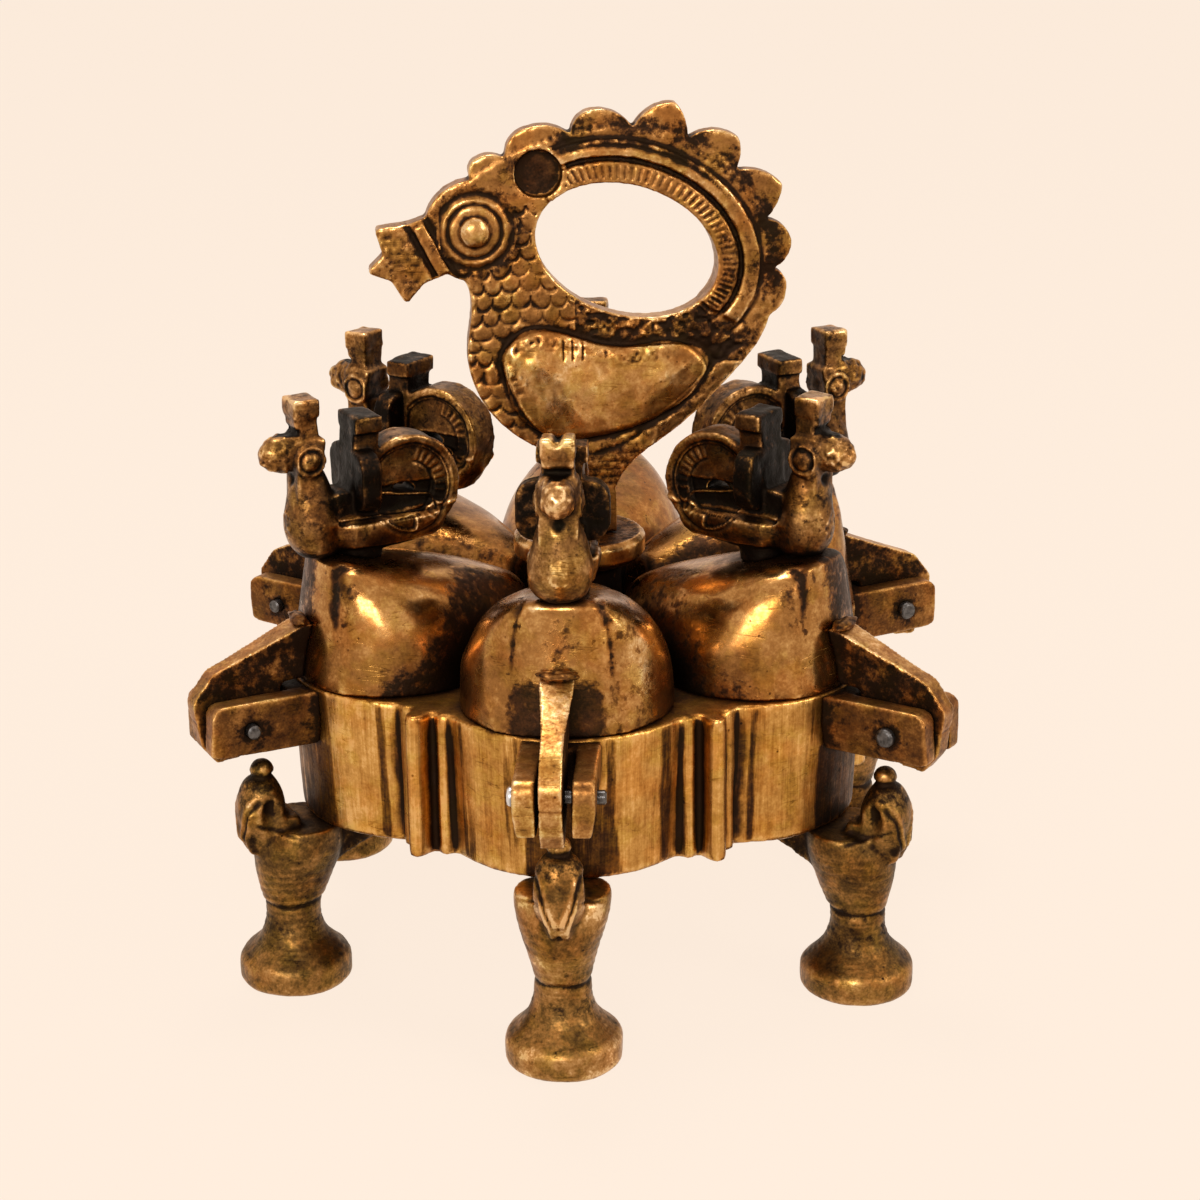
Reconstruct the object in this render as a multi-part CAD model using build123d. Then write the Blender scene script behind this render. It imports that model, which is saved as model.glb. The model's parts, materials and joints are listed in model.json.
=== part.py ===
from build123d import *
from math import cos, log, radians, sin, sqrt, tan
import os

# Brass sindoor box: a six-lobed casting on six legs, with six cups under six hinged
# lids, a small bird riveted on each lid and a peacock plate for a handle in the middle.
# Millimetres. Z is up, the feet stand on z = 0 and the box's axis is x = y = 0.
# Pieces that repeat are drawn pointing along +X and then turned to their lobe.

PLACES = ("front", "front_right", "back_right", "back", "back_left", "front_left")
LOBE_STEP = 360 / len(PLACES)
FRONT_TURN = -90
HALF_STEP = radians(LOBE_STEP / 2)

# Casting
BODY_BOTTOM = 30.3
BODY_HEIGHT = 25.9
RIM_Z = BODY_BOTTOM + BODY_HEIGHT
LOBE_CENTRE = 31.5
LOBE_RADIUS = 23.2
WALL_DRAFT = 1.2
FLOOR_THICK = 3.0
PARTITION = 3.6
CUP_CENTRE = 35.2
HUB_RADIUS = 14.4
CUP_ROUNDING = 2.5
REED_RADIUS = 1.7
SIDE_REED_RADIUS = 1.05
REED_REACH = 52.3
SIDE_REED_REACH = 48.9
REED_SPACING = 3.7
VALLEY_REACH = 48.2
VALLEY_RADIUS = 4.4

# Lids
LID_GAP = 0.3
LID_CENTRE = 37.0
LID_WALL = 2.2
LID_TIP_HEIGHT = 12.3
LID_END_HEIGHT = 23.2
LID_END_INSET = 0.2
LID_END_LEAN = 3.6
ARCH_POWER = 2.5
END_ARCH_POWER = 4.6
END_ARCH_TAPER = 0.3
LID_SECTIONS = 9
ARCH_POINTS = 9

# Hinges
PIN_R = 66.0
PIN_Z = 51.0
PIN_DIAMETER = 2.4
PIN_HEAD_DIAMETER = 3.3
PIN_HEAD_LENGTH = 1.3
PIN_END_REACH = 1.4
PIN_CLEARANCE = 0.05
ARM_WIDTH = 3.8
ARM_TOP_WIDTH = 5.8
ARM_SIDE_PLAY = 0.9
ARM_OFFSET = 0.4
ARM_TOP_HEIGHT = 10.8
KNUCKLE_RADIUS = 8.6
HEEL_RADIUS = 8.5
HEEL_DEPTH = 7.0
STOP_CLEARANCE = 0.5
LUG_THICK = 3.9
LUG_NOSE = 7.3
LUG_HEIGHT = 9.6
LUG_DROP = 0.3
LUG_ROUNDING = 2.2
LUG_TAPER = 1.0

# Central handle
DISC_RADIUS = 11.9
DISC_THICK = 4.8
DISC_TOP = 75.2
DISC_CLEARANCE = 0.4
COLUMN_RADIUS = 7.6
TANG_DIAMETER = 4.0
TANG_HEAD_DIAMETER = 8.0
TANG_HEAD_THICK = 1.6
FIT_CLEARANCE = 0.05
PEACOCK_TURN = 9.2
PLATE_THICK = 4.6
RELIEF = 0.7
WING_RELIEF = 1.3
GROOVE = 0.9
HOLE_CENTRE = (8.8, 126.1)
HOLE_LONG = 16.4
HOLE_SHORT = 11.3
HOLE_TILT = -20
RIB_BAND = 4.6
SMOOTH_BAND = 2.9
TAIL_CENTRE = (9.2, 122.0)
TAIL_REACH = 25.2
TAIL_SPREAD = 0.002
SCALLOP_ENDS = (148, 136, 112, 88, 66, 43, 20, 0, -20)
SCALLOP_RISES = (2.8, 3.5, 3.7, 5.3, 4.8, 5.5, 3.8, 2.8)
SCALLOP_LEANS = (0.6, 0.5, 0.42, 0.62, 0.68, 0.62, 0.52, 0.4)
STEM_LEFT = -2.6
STEM_RIGHT = 6.6
EYE_PLACE = (-17.6, 130.3)
EYE_RADIUS = 4.1
EYE_BULGE = 1.6
EYE_RING_RADIUS = 5.5
DIMPLE_PLACE = (-6.5, 139.9)
DIMPLE_RADIUS = 4.1
DIMPLE_DEPTH = 1.2

# Lid birds, each riveted a little further in or out than the next
BIRD_SHIFTS = (-2.0, -4.5, 0.0, -2.0, -4.5, 0.0)
BIRD_FOOT_R = 43.0
BIRD_FOOT_RADIUS = 4.4
BIRD_PEG_DIAMETER = 4.0
BIRD_RIVET_DIAMETER = 7.0
BIRD_RIVET_THICK = 1.2
RIVET_CLEARANCE = 0.4
BIRD_BASE_Z = 78.6
BIRD_WIDTH = 10.8
BOAT_TOP = 84.2
BIRD_NECK_WIDTH = 6.4
BIRD_TAIL_WIDTH = 5.4
TAIL_RIM = 1.9
CREST_WIDTH = 5.8
CREST_DEPTH = 4.2
CREST_TOP = 106.4
BACK_BLOCK_WIDTH = 8.4
BACK_BLOCK_TOP = 102.4
WING_SPAN = 15.6
WING_THICK = 3.6

# Legs
FOOT_R = 57.9
FOOT_RADIUS = 10.0
FOOT_HEIGHT = 6.3
WAIST_RADIUS = 4.9
WAIST_Z = 14.5
LEG_TOP_WIDTH = 16.0
LEG_REACH_IN = 30.0
HEAD_R = 62.9
HEAD_DEPTH = 4.3
HEAD_WIDTH = 9.4
HEAD_TOP = 40.4
KNOB_RADIUS = 2.2
KNOB_TOP = 42.8
MUZZLE_WIDTH = 5.2

# Sizes that follow
SPIN = [FRONT_TURN + LOBE_STEP * k for k in range(len(PLACES))]
LOBE_END = LOBE_CENTRE + LOBE_RADIUS
LID_TIP = DISC_RADIUS + DISC_CLEARANCE
LID_TOP = RIM_Z + LID_END_HEIGHT
SLOT_FLOOR = PIN_R - HEEL_RADIUS + STOP_CLEARANCE
LUG_GAP = ARM_WIDTH + 2 * ARM_SIDE_PLAY
LUG_SPAN = LUG_GAP + 2 * LUG_THICK
LUG_TOP = RIM_Z - LUG_DROP
DISC_BOTTOM = DISC_TOP - DISC_THICK


def upright(outline, width):
    """Solid of an outline drawn in the XZ plane, centred on it and this wide along Y."""
    return extrude(Plane.XZ * make_face(outline), amount=width / 2, both=True)


def ball(place, size):
    """Egg shape of these half sizes along X, Y and Z."""
    return Pos(*place) * scale(Sphere(1), by=size)


def petal(centre, gap, inner):
    """Plan of one lobe: straight sides a gap off the lobe's limits, run out to a round end."""
    def side(along, sign):
        return (along * cos(HALF_STEP) + gap * sin(HALF_STEP),
                sign * (along * sin(HALF_STEP) - gap * cos(HALF_STEP)))
    start = sqrt(inner**2 - gap**2)
    touch = centre * cos(HALF_STEP)
    end = centre + centre * sin(HALF_STEP) - gap
    return make_face([
        Line(side(start, -1), side(touch, -1)),
        ThreePointArc(side(touch, -1), (end, 0), side(touch, 1)),
        Line(side(touch, 1), side(start, 1)),
        ThreePointArc(side(start, 1), (inner, 0), side(start, -1)),
    ])


def lobe():
    """One drafted round lobe of the casting, full and without its cup."""
    middle = BODY_BOTTOM + BODY_HEIGHT / 2
    return Pos(LOBE_CENTRE, 0, middle) * Cone(LOBE_RADIUS - WALL_DRAFT, LOBE_RADIUS, BODY_HEIGHT)


def lobed_block():
    """The casting's outer form: six lobes with a reeded valley between each two."""
    middle = BODY_BOTTOM + BODY_HEIGHT / 2
    block = Pos(0, 0, middle) * Cylinder(LOBE_CENTRE, BODY_HEIGHT)
    reeds = Pos(VALLEY_REACH - VALLEY_RADIUS, 0, middle) * Cylinder(VALLEY_RADIUS, BODY_HEIGHT)
    reed_r = REED_REACH - REED_RADIUS
    reeds += Pos(reed_r, 0, middle) * Cylinder(REED_RADIUS, BODY_HEIGHT)
    reeds += Pos(reed_r - REED_RADIUS, 0, middle) * Box(2 * REED_RADIUS, 2 * REED_RADIUS, BODY_HEIGHT)
    for side in (-REED_SPACING, REED_SPACING):
        reed = Cylinder(SIDE_REED_RADIUS, BODY_HEIGHT)
        reeds += Pos(SIDE_REED_REACH - SIDE_REED_RADIUS, side, middle) * reed
    for turn in SPIN:
        block += Rot(0, 0, turn) * lobe()
        block += Rot(0, 0, turn + LOBE_STEP / 2) * reeds
    return block


def box_body():
    """Casting with six petal-shaped cups round a hub that the handle's tang goes through."""
    body = lobed_block()
    depth = BODY_HEIGHT - FLOOR_THICK
    cup = extrude(Pos(0, 0, BODY_BOTTOM + FLOOR_THICK) * petal(CUP_CENTRE, PARTITION / 2, HUB_RADIUS), depth)
    cup = fillet(cup.edges().group_by(Axis.Z)[0], CUP_ROUNDING)
    for turn in SPIN:
        body -= Rot(0, 0, turn) * cup
    tang_hole = Cylinder(TANG_DIAMETER / 2 + FIT_CLEARANCE, BODY_HEIGHT)
    return body - Pos(0, 0, BODY_BOTTOM + BODY_HEIGHT / 2) * tang_hole


def lid_half_width(x):
    """Half of the lid's width at its base, this far from the box's axis."""
    apex = LID_GAP / sin(HALF_STEP)
    radius = (LID_CENTRE - apex) * sin(HALF_STEP)
    touch = LID_CENTRE - radius * sin(HALF_STEP)
    if x < touch:
        return (x - apex) * tan(HALF_STEP)
    last = LID_CENTRE + 0.85 * radius
    return sqrt(radius**2 - (min(x, last) - LID_CENTRE) ** 2)


def lid_height(x):
    """Height of the lid's ridge over the rim, this far from the box's axis."""
    rise = (LID_END_HEIGHT - LID_TIP_HEIGHT) / log(LOBE_END / LID_TIP)
    return LID_TIP_HEIGHT + rise * log(x / LID_TIP)


def lid_arch(x, wall):
    """Upright section of the lid's dome at x, drawn in by the wall for its hollow."""
    half = lid_half_width(x) - wall
    height = lid_height(x) - wall
    near_end = max(x - LID_CENTRE, 0) / (LOBE_END - LID_CENTRE)
    power = ARCH_POWER + (END_ARCH_POWER - ARCH_POWER) * near_end
    points = []
    for step in range(ARCH_POINTS):
        turn = radians(180 * step / (ARCH_POINTS - 1))
        up = abs(sin(turn)) ** (2 / power)
        across = half * abs(cos(turn)) ** (2 / power) * (1 - END_ARCH_TAPER * near_end * up)
        points.append((x, across if cos(turn) > 0 else -across, RIM_Z + height * up))
    points[0] = (x, half, RIM_Z)
    points[-1] = (x, -half, RIM_Z)
    lean = half * END_ARCH_TAPER * near_end
    curve = Spline(*points, tangents=[(0, -lean, height), (0, -lean, -height)])
    return Face(Wire([curve, Line(points[-1], points[0])]))


def lid_dome(wall):
    """Dome of the lid, or the hollow under it when the wall is more than nothing."""
    start = LID_TIP - 2 + 2 * wall
    stop = LOBE_END + 1
    xs = [start + (stop - start) * k / (LID_SECTIONS - 1) for k in range(LID_SECTIONS)]
    dome = loft([lid_arch(x, wall) for x in xs])
    low = LOBE_RADIUS - LID_END_INSET - wall
    tall = LID_END_HEIGHT + 2
    lean = LID_END_LEAN * tall / LID_END_HEIGHT
    end = Pos(LOBE_CENTRE, 0, RIM_Z + tall / 2) * Cone(low, low - lean, tall)
    inner_part = Pos(LOBE_CENTRE / 2, 0, RIM_Z + tall / 2) * Box(LOBE_CENTRE, 4 * LOBE_CENTRE, tall)
    tip = Pos(0, 0, RIM_Z + tall / 2) * Cylinder(LID_TIP + wall, tall + 2)
    return (dome & (end + inner_part)) - tip


def lid(dome, hollow, peg_r):
    """Hollow dome lid with the hole for the bird's peg."""
    hole = Pos(peg_r, 0, LID_TOP) * Cylinder(BIRD_PEG_DIAMETER / 2 + FIT_CLEARANCE, 2 * LID_END_HEIGHT)
    return dome - hollow - hole


def pin():
    """Iron hinge pin with one hammered head, along Y."""
    reach = LUG_SPAN / 2
    shank = Pos(0, PIN_END_REACH / 2, 0) * Rot(90, 0, 0)
    shank *= Cylinder(PIN_DIAMETER / 2, LUG_SPAN + PIN_END_REACH)
    shank = chamfer(shank.edges().group_by(Axis.Y)[-1], PIN_DIAMETER / 8)
    head = Pos(0, -reach - PIN_HEAD_LENGTH / 2, 0) * Rot(90, 0, 0)
    head *= Cylinder(PIN_HEAD_DIAMETER / 2, PIN_HEAD_LENGTH)
    head = fillet(head.edges().group_by(Axis.Y)[0], PIN_HEAD_LENGTH / 2)
    return Pos(PIN_R, 0, PIN_Z) * (shank + head)


def cross_hole(radius):
    """Bore along Y on the hinge's axis."""
    return Pos(PIN_R, 0, PIN_Z) * Rot(90, 0, 0) * Cylinder(radius, 2 * LUG_SPAN)


def hinge_bracket():
    """Two lugs on one foot that is brazed to the lobe's wall; the foot also stops the open lid."""
    nose = PIN_R + LUG_NOSE
    back = LOBE_CENTRE + LOBE_RADIUS / 2
    low = LUG_TOP - LUG_HEIGHT
    outline = FilletPolyline(
        (back, LUG_TOP), (nose - 0.4, LUG_TOP), (nose, low + 0.6), (nose - 2, low), (back, low - 0.4),
        radius=[0.3, LUG_ROUNDING, 0.6, 1.0, 0.3], close=True)
    half = LUG_SPAN / 2
    ends = Polyline((-half, LUG_TOP), (half, LUG_TOP), (half, PIN_Z), (half - LUG_TAPER, low - 1),
                    (LUG_TAPER - half, low - 1), (-half, PIN_Z), close=True)
    lugs = upright(outline, LUG_SPAN)
    lugs &= Pos(back - 1, 0, 0) * extrude(Plane.YZ * make_face(ends), LUG_SPAN + 2 * LUG_NOSE + LUG_THICK)
    slot = Pos(SLOT_FLOOR + LUG_SPAN, 0, PIN_Z) * Box(2 * LUG_SPAN, LUG_GAP, 2 * LUG_HEIGHT)
    return lugs - slot - cross_hole(PIN_DIAMETER / 2) - lobe()


def hinge_arm(dome):
    """Strap that is brazed to the lid's flat end and turns on the pin between the lugs."""
    foot = LOBE_CENTRE + LOBE_RADIUS * 0.8
    top = RIM_Z + ARM_TOP_HEIGHT
    heel = PIN_Z - HEEL_DEPTH
    heel_out = PIN_R + sqrt(HEEL_RADIUS**2 - HEEL_DEPTH**2)
    outline = FilletPolyline(
        (foot, top), (LOBE_END, top - 0.4), (PIN_R - 4, RIM_Z + 7.4), (PIN_R + 5, PIN_Z + 9),
        (PIN_R + KNUCKLE_RADIUS, PIN_Z + 4.4), (PIN_R + 7.4, PIN_Z - 3.6), (heel_out, heel),
        (PIN_R + 0.6, heel + 0.5), (PIN_R - 4.6, PIN_Z - 3), (SLOT_FLOOR + 1.2, PIN_Z + 2.6),
        (SLOT_FLOOR + 0.4, RIM_Z + 0.4), (foot, RIM_Z + 1.2),
        radius=[0.2, 1.5, 4, 2.5, 2, 2, 0.6, 1.5, 2, 1.5, 0.5, 0.2], close=True)
    strap = upright(outline, ARM_TOP_WIDTH)
    flare = Polyline(
        (-ARM_WIDTH / 2, heel - 1), (ARM_WIDTH / 2, heel - 1), (ARM_WIDTH / 2, top - 5.5),
        (ARM_TOP_WIDTH / 2, top - 1), (ARM_TOP_WIDTH / 2, top + 1), (-ARM_TOP_WIDTH / 2, top + 1),
        (-ARM_TOP_WIDTH / 2, top - 1), (-ARM_WIDTH / 2, top - 5.5), close=True)
    strap &= Pos(foot - 1, 0, 0) * extrude(Plane.YZ * make_face(flare), 2 * PIN_R - 2 * foot)
    strap = Pos(0, -ARM_OFFSET, 0) * strap
    return strap - cross_hole(PIN_DIAMETER / 2 + PIN_CLEARANCE) - dome


def bird_body():
    """Boat-shaped underside with a ledge, a narrower back on it, a round breast and a neck."""
    boat = ball((40.6, 0, BOAT_TOP), (15.0, BIRD_WIDTH / 2, BOAT_TOP - BIRD_BASE_Z + 1.2))
    shape = boat & Pos(41, 0, (BIRD_BASE_Z + BOAT_TOP) / 2) * Box(60, 60, BOAT_TOP - BIRD_BASE_Z)
    shape += upright(FilletPolyline(
        (29, BOAT_TOP - 1), (54, BOAT_TOP - 1), (52, BOAT_TOP + 4), (46, BOAT_TOP + 5.4),
        (30, BOAT_TOP + 3), radius=1, close=True), BIRD_NECK_WIDTH + 0.8)
    shape += loft([
        Pos(50.2, 0, BIRD_BASE_Z) * Ellipse(3.4, BIRD_WIDTH / 2 - 1.8),
        Pos(50.9, 0, BIRD_BASE_Z + 4.4) * Ellipse(4.8, BIRD_WIDTH / 2),
        Pos(51.1, 0, BIRD_BASE_Z + 9.4) * Ellipse(4.2, BIRD_WIDTH / 2 - 0.8),
        Pos(51.6, 0, BIRD_BASE_Z + 15) * Ellipse(2.9, BIRD_NECK_WIDTH / 2 - 0.2),
    ])
    shape += upright(FilletPolyline(
        (48.6, 88), (54.4, 88), (54.2, 93.6), (54.6, 99.6), (48.8, 99.6), (49.8, 94.2),
        radius=0.7, close=True), BIRD_NECK_WIDTH)
    return shape


def bird_head():
    """Blunt beak, round eyes with a dot, and a square crest that flares at its top."""
    shape = Pos(54.9, 0, 97.2) * Rot(0, 8, 0) * scale(Sphere(1), by=(5.2, 3.1, 3.5))
    middle = (CREST_TOP + 98) / 2
    shape += Pos(52.0, 0, middle) * Box(CREST_DEPTH, CREST_WIDTH - 0.6, CREST_TOP - 98)
    shape += Pos(52.0, 0, CREST_TOP - 1.6) * Box(CREST_DEPTH + 0.6, CREST_WIDTH, 3.2)
    across = Pos(51.9, 0, 95.8) * Rot(90, 0, 0)
    shape += across * Cylinder(2.7, BIRD_NECK_WIDTH + 1.2)
    return shape + across * Cylinder(1.0, BIRD_NECK_WIDTH + 2.0)


def bird_tail():
    """Round upright tail with a raised rim, and the tall block with rounded tabs before it."""
    across = Pos(34.0, 0, 88.8) * Rot(90, 0, 0)
    shape = across * Cylinder(9.3, BIRD_TAIL_WIDTH)
    rim = Cylinder(9.3, BIRD_TAIL_WIDTH + 1.2) - Cylinder(9.3 - TAIL_RIM, BIRD_TAIL_WIDTH + 3)
    shape += across * rim
    tall = BACK_BLOCK_TOP - 88
    block = Pos(42.0, 0, BACK_BLOCK_TOP - tall / 2) * Rot(0, -5, 0)
    shape += block * Box(WING_THICK + 1.0, BACK_BLOCK_WIDTH - 1.6, tall)
    shape += Pos(41.5, 0, BACK_BLOCK_TOP - 1.4) * Box(WING_THICK + 1.4, BACK_BLOCK_WIDTH, 2.8)
    tabs = extrude(Plane.YZ * Pos(0, 91.4) * RectangleRounded(WING_SPAN, 10.4, 3.4), WING_THICK)
    shape += Pos(42.6 - WING_THICK / 2, 0, 0) * tabs
    slot = Pos(35.0, 0, 88.0) * Rot(90, 0, 0) * extrude(SlotOverall(4.6, 2.9), 20, both=True)
    return shape - slot


def bird(dome, shift):
    """Small bird with a square crest, a block across its back and a round tail, and its rivet."""
    roof = RIM_Z + lid_height(BIRD_FOOT_R + shift - BIRD_RIVET_DIAMETER / 2) - LID_WALL - RIVET_CLEARANCE
    shape = bird_body() + bird_head() + bird_tail()
    shape += Pos(BIRD_FOOT_R, 0, BIRD_BASE_Z - 2) * Cylinder(BIRD_FOOT_RADIUS, 8)
    shape = Pos(shift, 0, 0) * shape - dome
    low = roof - BIRD_RIVET_THICK
    high = BIRD_BASE_Z + 2
    peg_r = BIRD_FOOT_R + shift
    shape += Pos(peg_r, 0, (low + high) / 2) * Cylinder(BIRD_PEG_DIAMETER / 2, high - low)
    rivet = Cylinder(BIRD_RIVET_DIAMETER / 2, BIRD_RIVET_THICK)
    return shape + Pos(peg_r, 0, low + BIRD_RIVET_THICK / 2) * rivet


def leg_head():
    """Animal's head that looks outwards and down: hood, knob, ears and muzzle with a nostril."""
    middle = (HEAD_TOP + BODY_BOTTOM - 4) / 2
    shape = ball((HEAD_R, 0, middle), (HEAD_DEPTH, HEAD_WIDTH / 2, HEAD_TOP - middle))
    shape += ball((HEAD_R - 0.4, 0, KNOB_TOP - KNOB_RADIUS), (KNOB_RADIUS, KNOB_RADIUS, KNOB_RADIUS))
    for side in (-1, 1):
        shape += ball((HEAD_R - 0.6, side * HEAD_WIDTH / 2, middle), (2.2, 1.3, 3.8))
    muzzle = loft([
        Pos(HEAD_R + 0.6, 0, middle + 1) * Rectangle(6.4, HEAD_WIDTH - 2),
        Pos(HEAD_R + 1.4, 0, BODY_BOTTOM - 1.4) * Rectangle(5.6, MUZZLE_WIDTH),
        Pos(HEAD_R + 0.8, 0, BODY_BOTTOM - 4.8) * Rectangle(3.6, MUZZLE_WIDTH - 1.2),
    ], ruled=True)
    nostril = Pos(HEAD_R + 3.4, 0, BODY_BOTTOM - 2.8) * Rot(0, 90, 0) * Cylinder(0.7, 1.6)
    return shape + muzzle - nostril


def leg():
    """Leg with a round foot, a swelling top under an animal's head and a web below the floor."""
    foot = make_face(Polyline(
        (0, 0), (FOOT_RADIUS - 0.8, 0), (FOOT_RADIUS, 0.9), (FOOT_RADIUS, 4.4), (FOOT_RADIUS - 0.6, 5.4),
        (FOOT_RADIUS - 1.7, FOOT_HEIGHT), (6.2, 8.4), (WAIST_RADIUS + 0.6, 9.8),
        (WAIST_RADIUS, 12), (WAIST_RADIUS, WAIST_Z), (0, WAIST_Z), close=True))
    shape = Pos(FOOT_R, 0, 0) * revolve(Plane.XZ * foot, Axis.Z)
    top = BODY_BOTTOM
    half_top = LEG_TOP_WIDTH / 2
    shape += loft([
        Pos(FOOT_R, 0, WAIST_Z) * Circle(WAIST_RADIUS),
        Pos(FOOT_R - 0.5, 0, WAIST_Z + 3.5) * Ellipse(6.2, 5.3),
        Pos(FOOT_R - 1.0, 0, WAIST_Z + 7.5) * Ellipse(7.4, half_top - 1.4),
        Pos(FOOT_R - 2.2, 0, top) * Ellipse(6.8, half_top),
    ])
    web = FilletPolyline(
        (FOOT_R - 2, top), (LEG_REACH_IN, top), (LEG_REACH_IN, top - 1.2), (FOOT_R - 12, top - 6.4),
        (FOOT_R - 7, top - 9), (FOOT_R - 2, top - 9), radius=0.5, close=True)
    shape += upright(web, LEG_TOP_WIDTH / 3)
    shape += Pos(HEAD_R - 3, 0, top + 0.5) * Box(6, HEAD_WIDTH - 1.6, 3) - lobe()
    return shape + leg_head()


def handle_disc():
    """Turned disc on a short column, standing on the casting's hub."""
    bore = TANG_DIAMETER / 2 + FIT_CLEARANCE
    outline = make_face(Polyline(
        (bore, RIM_Z), (COLUMN_RADIUS + 1.2, RIM_Z), (COLUMN_RADIUS, RIM_Z + 2.4),
        (COLUMN_RADIUS, DISC_BOTTOM - 1.2), (DISC_RADIUS - 1.4, DISC_BOTTOM),
        (DISC_RADIUS, DISC_BOTTOM + 1.2), (DISC_RADIUS, DISC_TOP - 0.9), (DISC_RADIUS - 0.8, DISC_TOP),
        (bore, DISC_TOP), close=True))
    return revolve(Plane.XZ * outline, Axis.Z)


def tail_oval(grow):
    """Egg-shaped line round the finger hole, this much larger than it."""
    return Pos(*HOLE_CENTRE) * Rot(0, 0, HOLE_TILT) * Ellipse(HOLE_LONG + grow, HOLE_SHORT + grow)


def plate(plan, width):
    """Solid of a plan drawn as width and height in the peacock's plane."""
    return extrude(Plane.XZ * plan, amount=width / 2, both=True)


def tail_point(turn, out):
    """Point of the tail's edge at this angle, this far outside the foot of the scallops."""
    reach = TAIL_REACH + out + TAIL_SPREAD * max(turn - 90, 0) ** 2
    return TAIL_CENTRE[0] + reach * cos(radians(turn)), TAIL_CENTRE[1] + reach * sin(radians(turn))


def scallop(start, end, rise, lean):
    """One petal of the tail's edge: round where it is low and pointed where it rises far."""
    def at(part):
        return start + (end - start) * part
    swell = 1 - 0.07 * rise
    foot, tip, heel = tail_point(start, 0), tail_point(at(lean), rise), tail_point(end, 0)
    inner = tail_point(at(0.5), -rise)
    return make_face([
        ThreePointArc(foot, tail_point(at(lean * 0.4), rise * swell), tip),
        ThreePointArc(tip, tail_point(at(0.4 * lean + 0.6), rise * (swell - 0.06)), heel),
        Line(heel, inner), Line(inner, foot)])


def peacock_outline():
    """Breast, belly and stem of the peacock, up to the middle of its tail."""
    left = Spline(
        (-23.2, 124.0), (-19.2, 121.2), (-18.5, 116.5), (-19.3, 107.5), (-15.9, 98.4), (-8.6, 91.9),
        (-3.6, 88.4), (STEM_LEFT, 83.6))
    right = Spline((STEM_RIGHT, 83.6), (9.6, 88.1), (16.0, 92.9), (27.5, 103.6), (33.0, 110.9), (34.2, 117.0))
    return make_face([
        left, Line((STEM_LEFT, 83.6), (STEM_LEFT, DISC_TOP)),
        Line((STEM_LEFT, DISC_TOP), (STEM_RIGHT, DISC_TOP)),
        Line((STEM_RIGHT, DISC_TOP), (STEM_RIGHT, 83.6)), right,
        Line((34.2, 117.0), (8.8, 130)), Line((8.8, 130), (-20, 132)), Line((-20, 132), (-23.2, 124.0))])


def peacock_handle():
    """Peacock plate with a finger hole through its tail, on a stem with a tang and its rivet."""
    torso = plate(peacock_outline(), PLATE_THICK)
    rim = [tail_point(turn, 0.2) for turn in SCALLOP_ENDS]
    fan = make_face([Spline(*rim), Line(rim[-1], TAIL_CENTRE), Line(TAIL_CENTRE, rim[0])])
    shape = torso + plate(fan, PLATE_THICK) + plate(tail_oval(RIB_BAND), PLATE_THICK)
    shape += plate(Pos(*EYE_PLACE) * Circle(8.8), PLATE_THICK)
    for start, end, rise, lean in zip(SCALLOP_ENDS, SCALLOP_ENDS[1:], SCALLOP_RISES, SCALLOP_LEANS):
        shape += plate(scallop(start, end, rise, lean), PLATE_THICK - RELIEF)
    beak = make_face(FilletPolyline(
        (-22, 134.4), (-29, 131.8), (-34.9, 131.2), (-33.5, 126.6), (-36.6, 123.6), (-32.2, 122.0),
        (-29.7, 117.8), (-26.6, 121.4), (-21, 123.6), radius=0.7, close=True))
    shape += plate(beak, PLATE_THICK)
    collar = Pos(-25.1, 127.3) * Rot(0, 0, -63) * Rectangle(9.4, 2.4)
    shape += plate(collar, PLATE_THICK + 2 * RELIEF)
    bands = tail_oval(RIB_BAND + SMOOTH_BAND) - tail_oval(RIB_BAND) + tail_oval(RIB_BAND - GROOVE)
    bands -= Pos(*HOLE_CENTRE) * Rot(0, 0, -35) * Pos(0, -40) * Rectangle(120, 80)
    shape += plate(bands, PLATE_THICK + 2 * RELIEF)
    shape += plate(Pos(*EYE_PLACE) * Circle(EYE_RING_RADIUS), PLATE_THICK + RELIEF)
    eye_reach = (PLATE_THICK + RELIEF) / 2 + EYE_BULGE
    shape += ball((EYE_PLACE[0], 0, EYE_PLACE[1]), (EYE_RADIUS, eye_reach, EYE_RADIUS))
    wing = make_face(Spline(
        (-13.2, 105.6), (-11.0, 111.2), (-5.6, 112.6), (6.0, 109.4), (19.4, 109.2), (22.9, 105.2),
        (16.8, 97.8), (4.9, 93.4), (-6.2, 93.8), periodic=True))
    wing = plate(wing, PLATE_THICK + 2 * WING_RELIEF)
    shape += fillet(wing.edges().group_by(Axis.Y)[0] + wing.edges().group_by(Axis.Y)[-1], WING_RELIEF)
    shape -= plate(tail_oval(0), 4 * PLATE_THICK)
    dent = plate(Pos(*DIMPLE_PLACE) * Circle(DIMPLE_RADIUS), PLATE_THICK + 2 * DIMPLE_DEPTH)
    for side in (-1, 1):
        shape -= Pos(0, side * PLATE_THICK, 0) * dent
    shape = Rot(0, 0, PEACOCK_TURN) * shape
    tang_low = BODY_BOTTOM - TANG_HEAD_THICK
    tang = Pos(0, 0, (tang_low + DISC_TOP) / 2) * Cylinder(TANG_DIAMETER / 2, DISC_TOP - tang_low)
    rivet = Pos(0, 0, BODY_BOTTOM - TANG_HEAD_THICK / 2) * Cylinder(TANG_HEAD_DIAMETER / 2, TANG_HEAD_THICK)
    return shape + tang + rivet


def turned(shape, k):
    """The shape on the lobe with this number."""
    return Rot(0, 0, SPIN[k]) * shape


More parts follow.
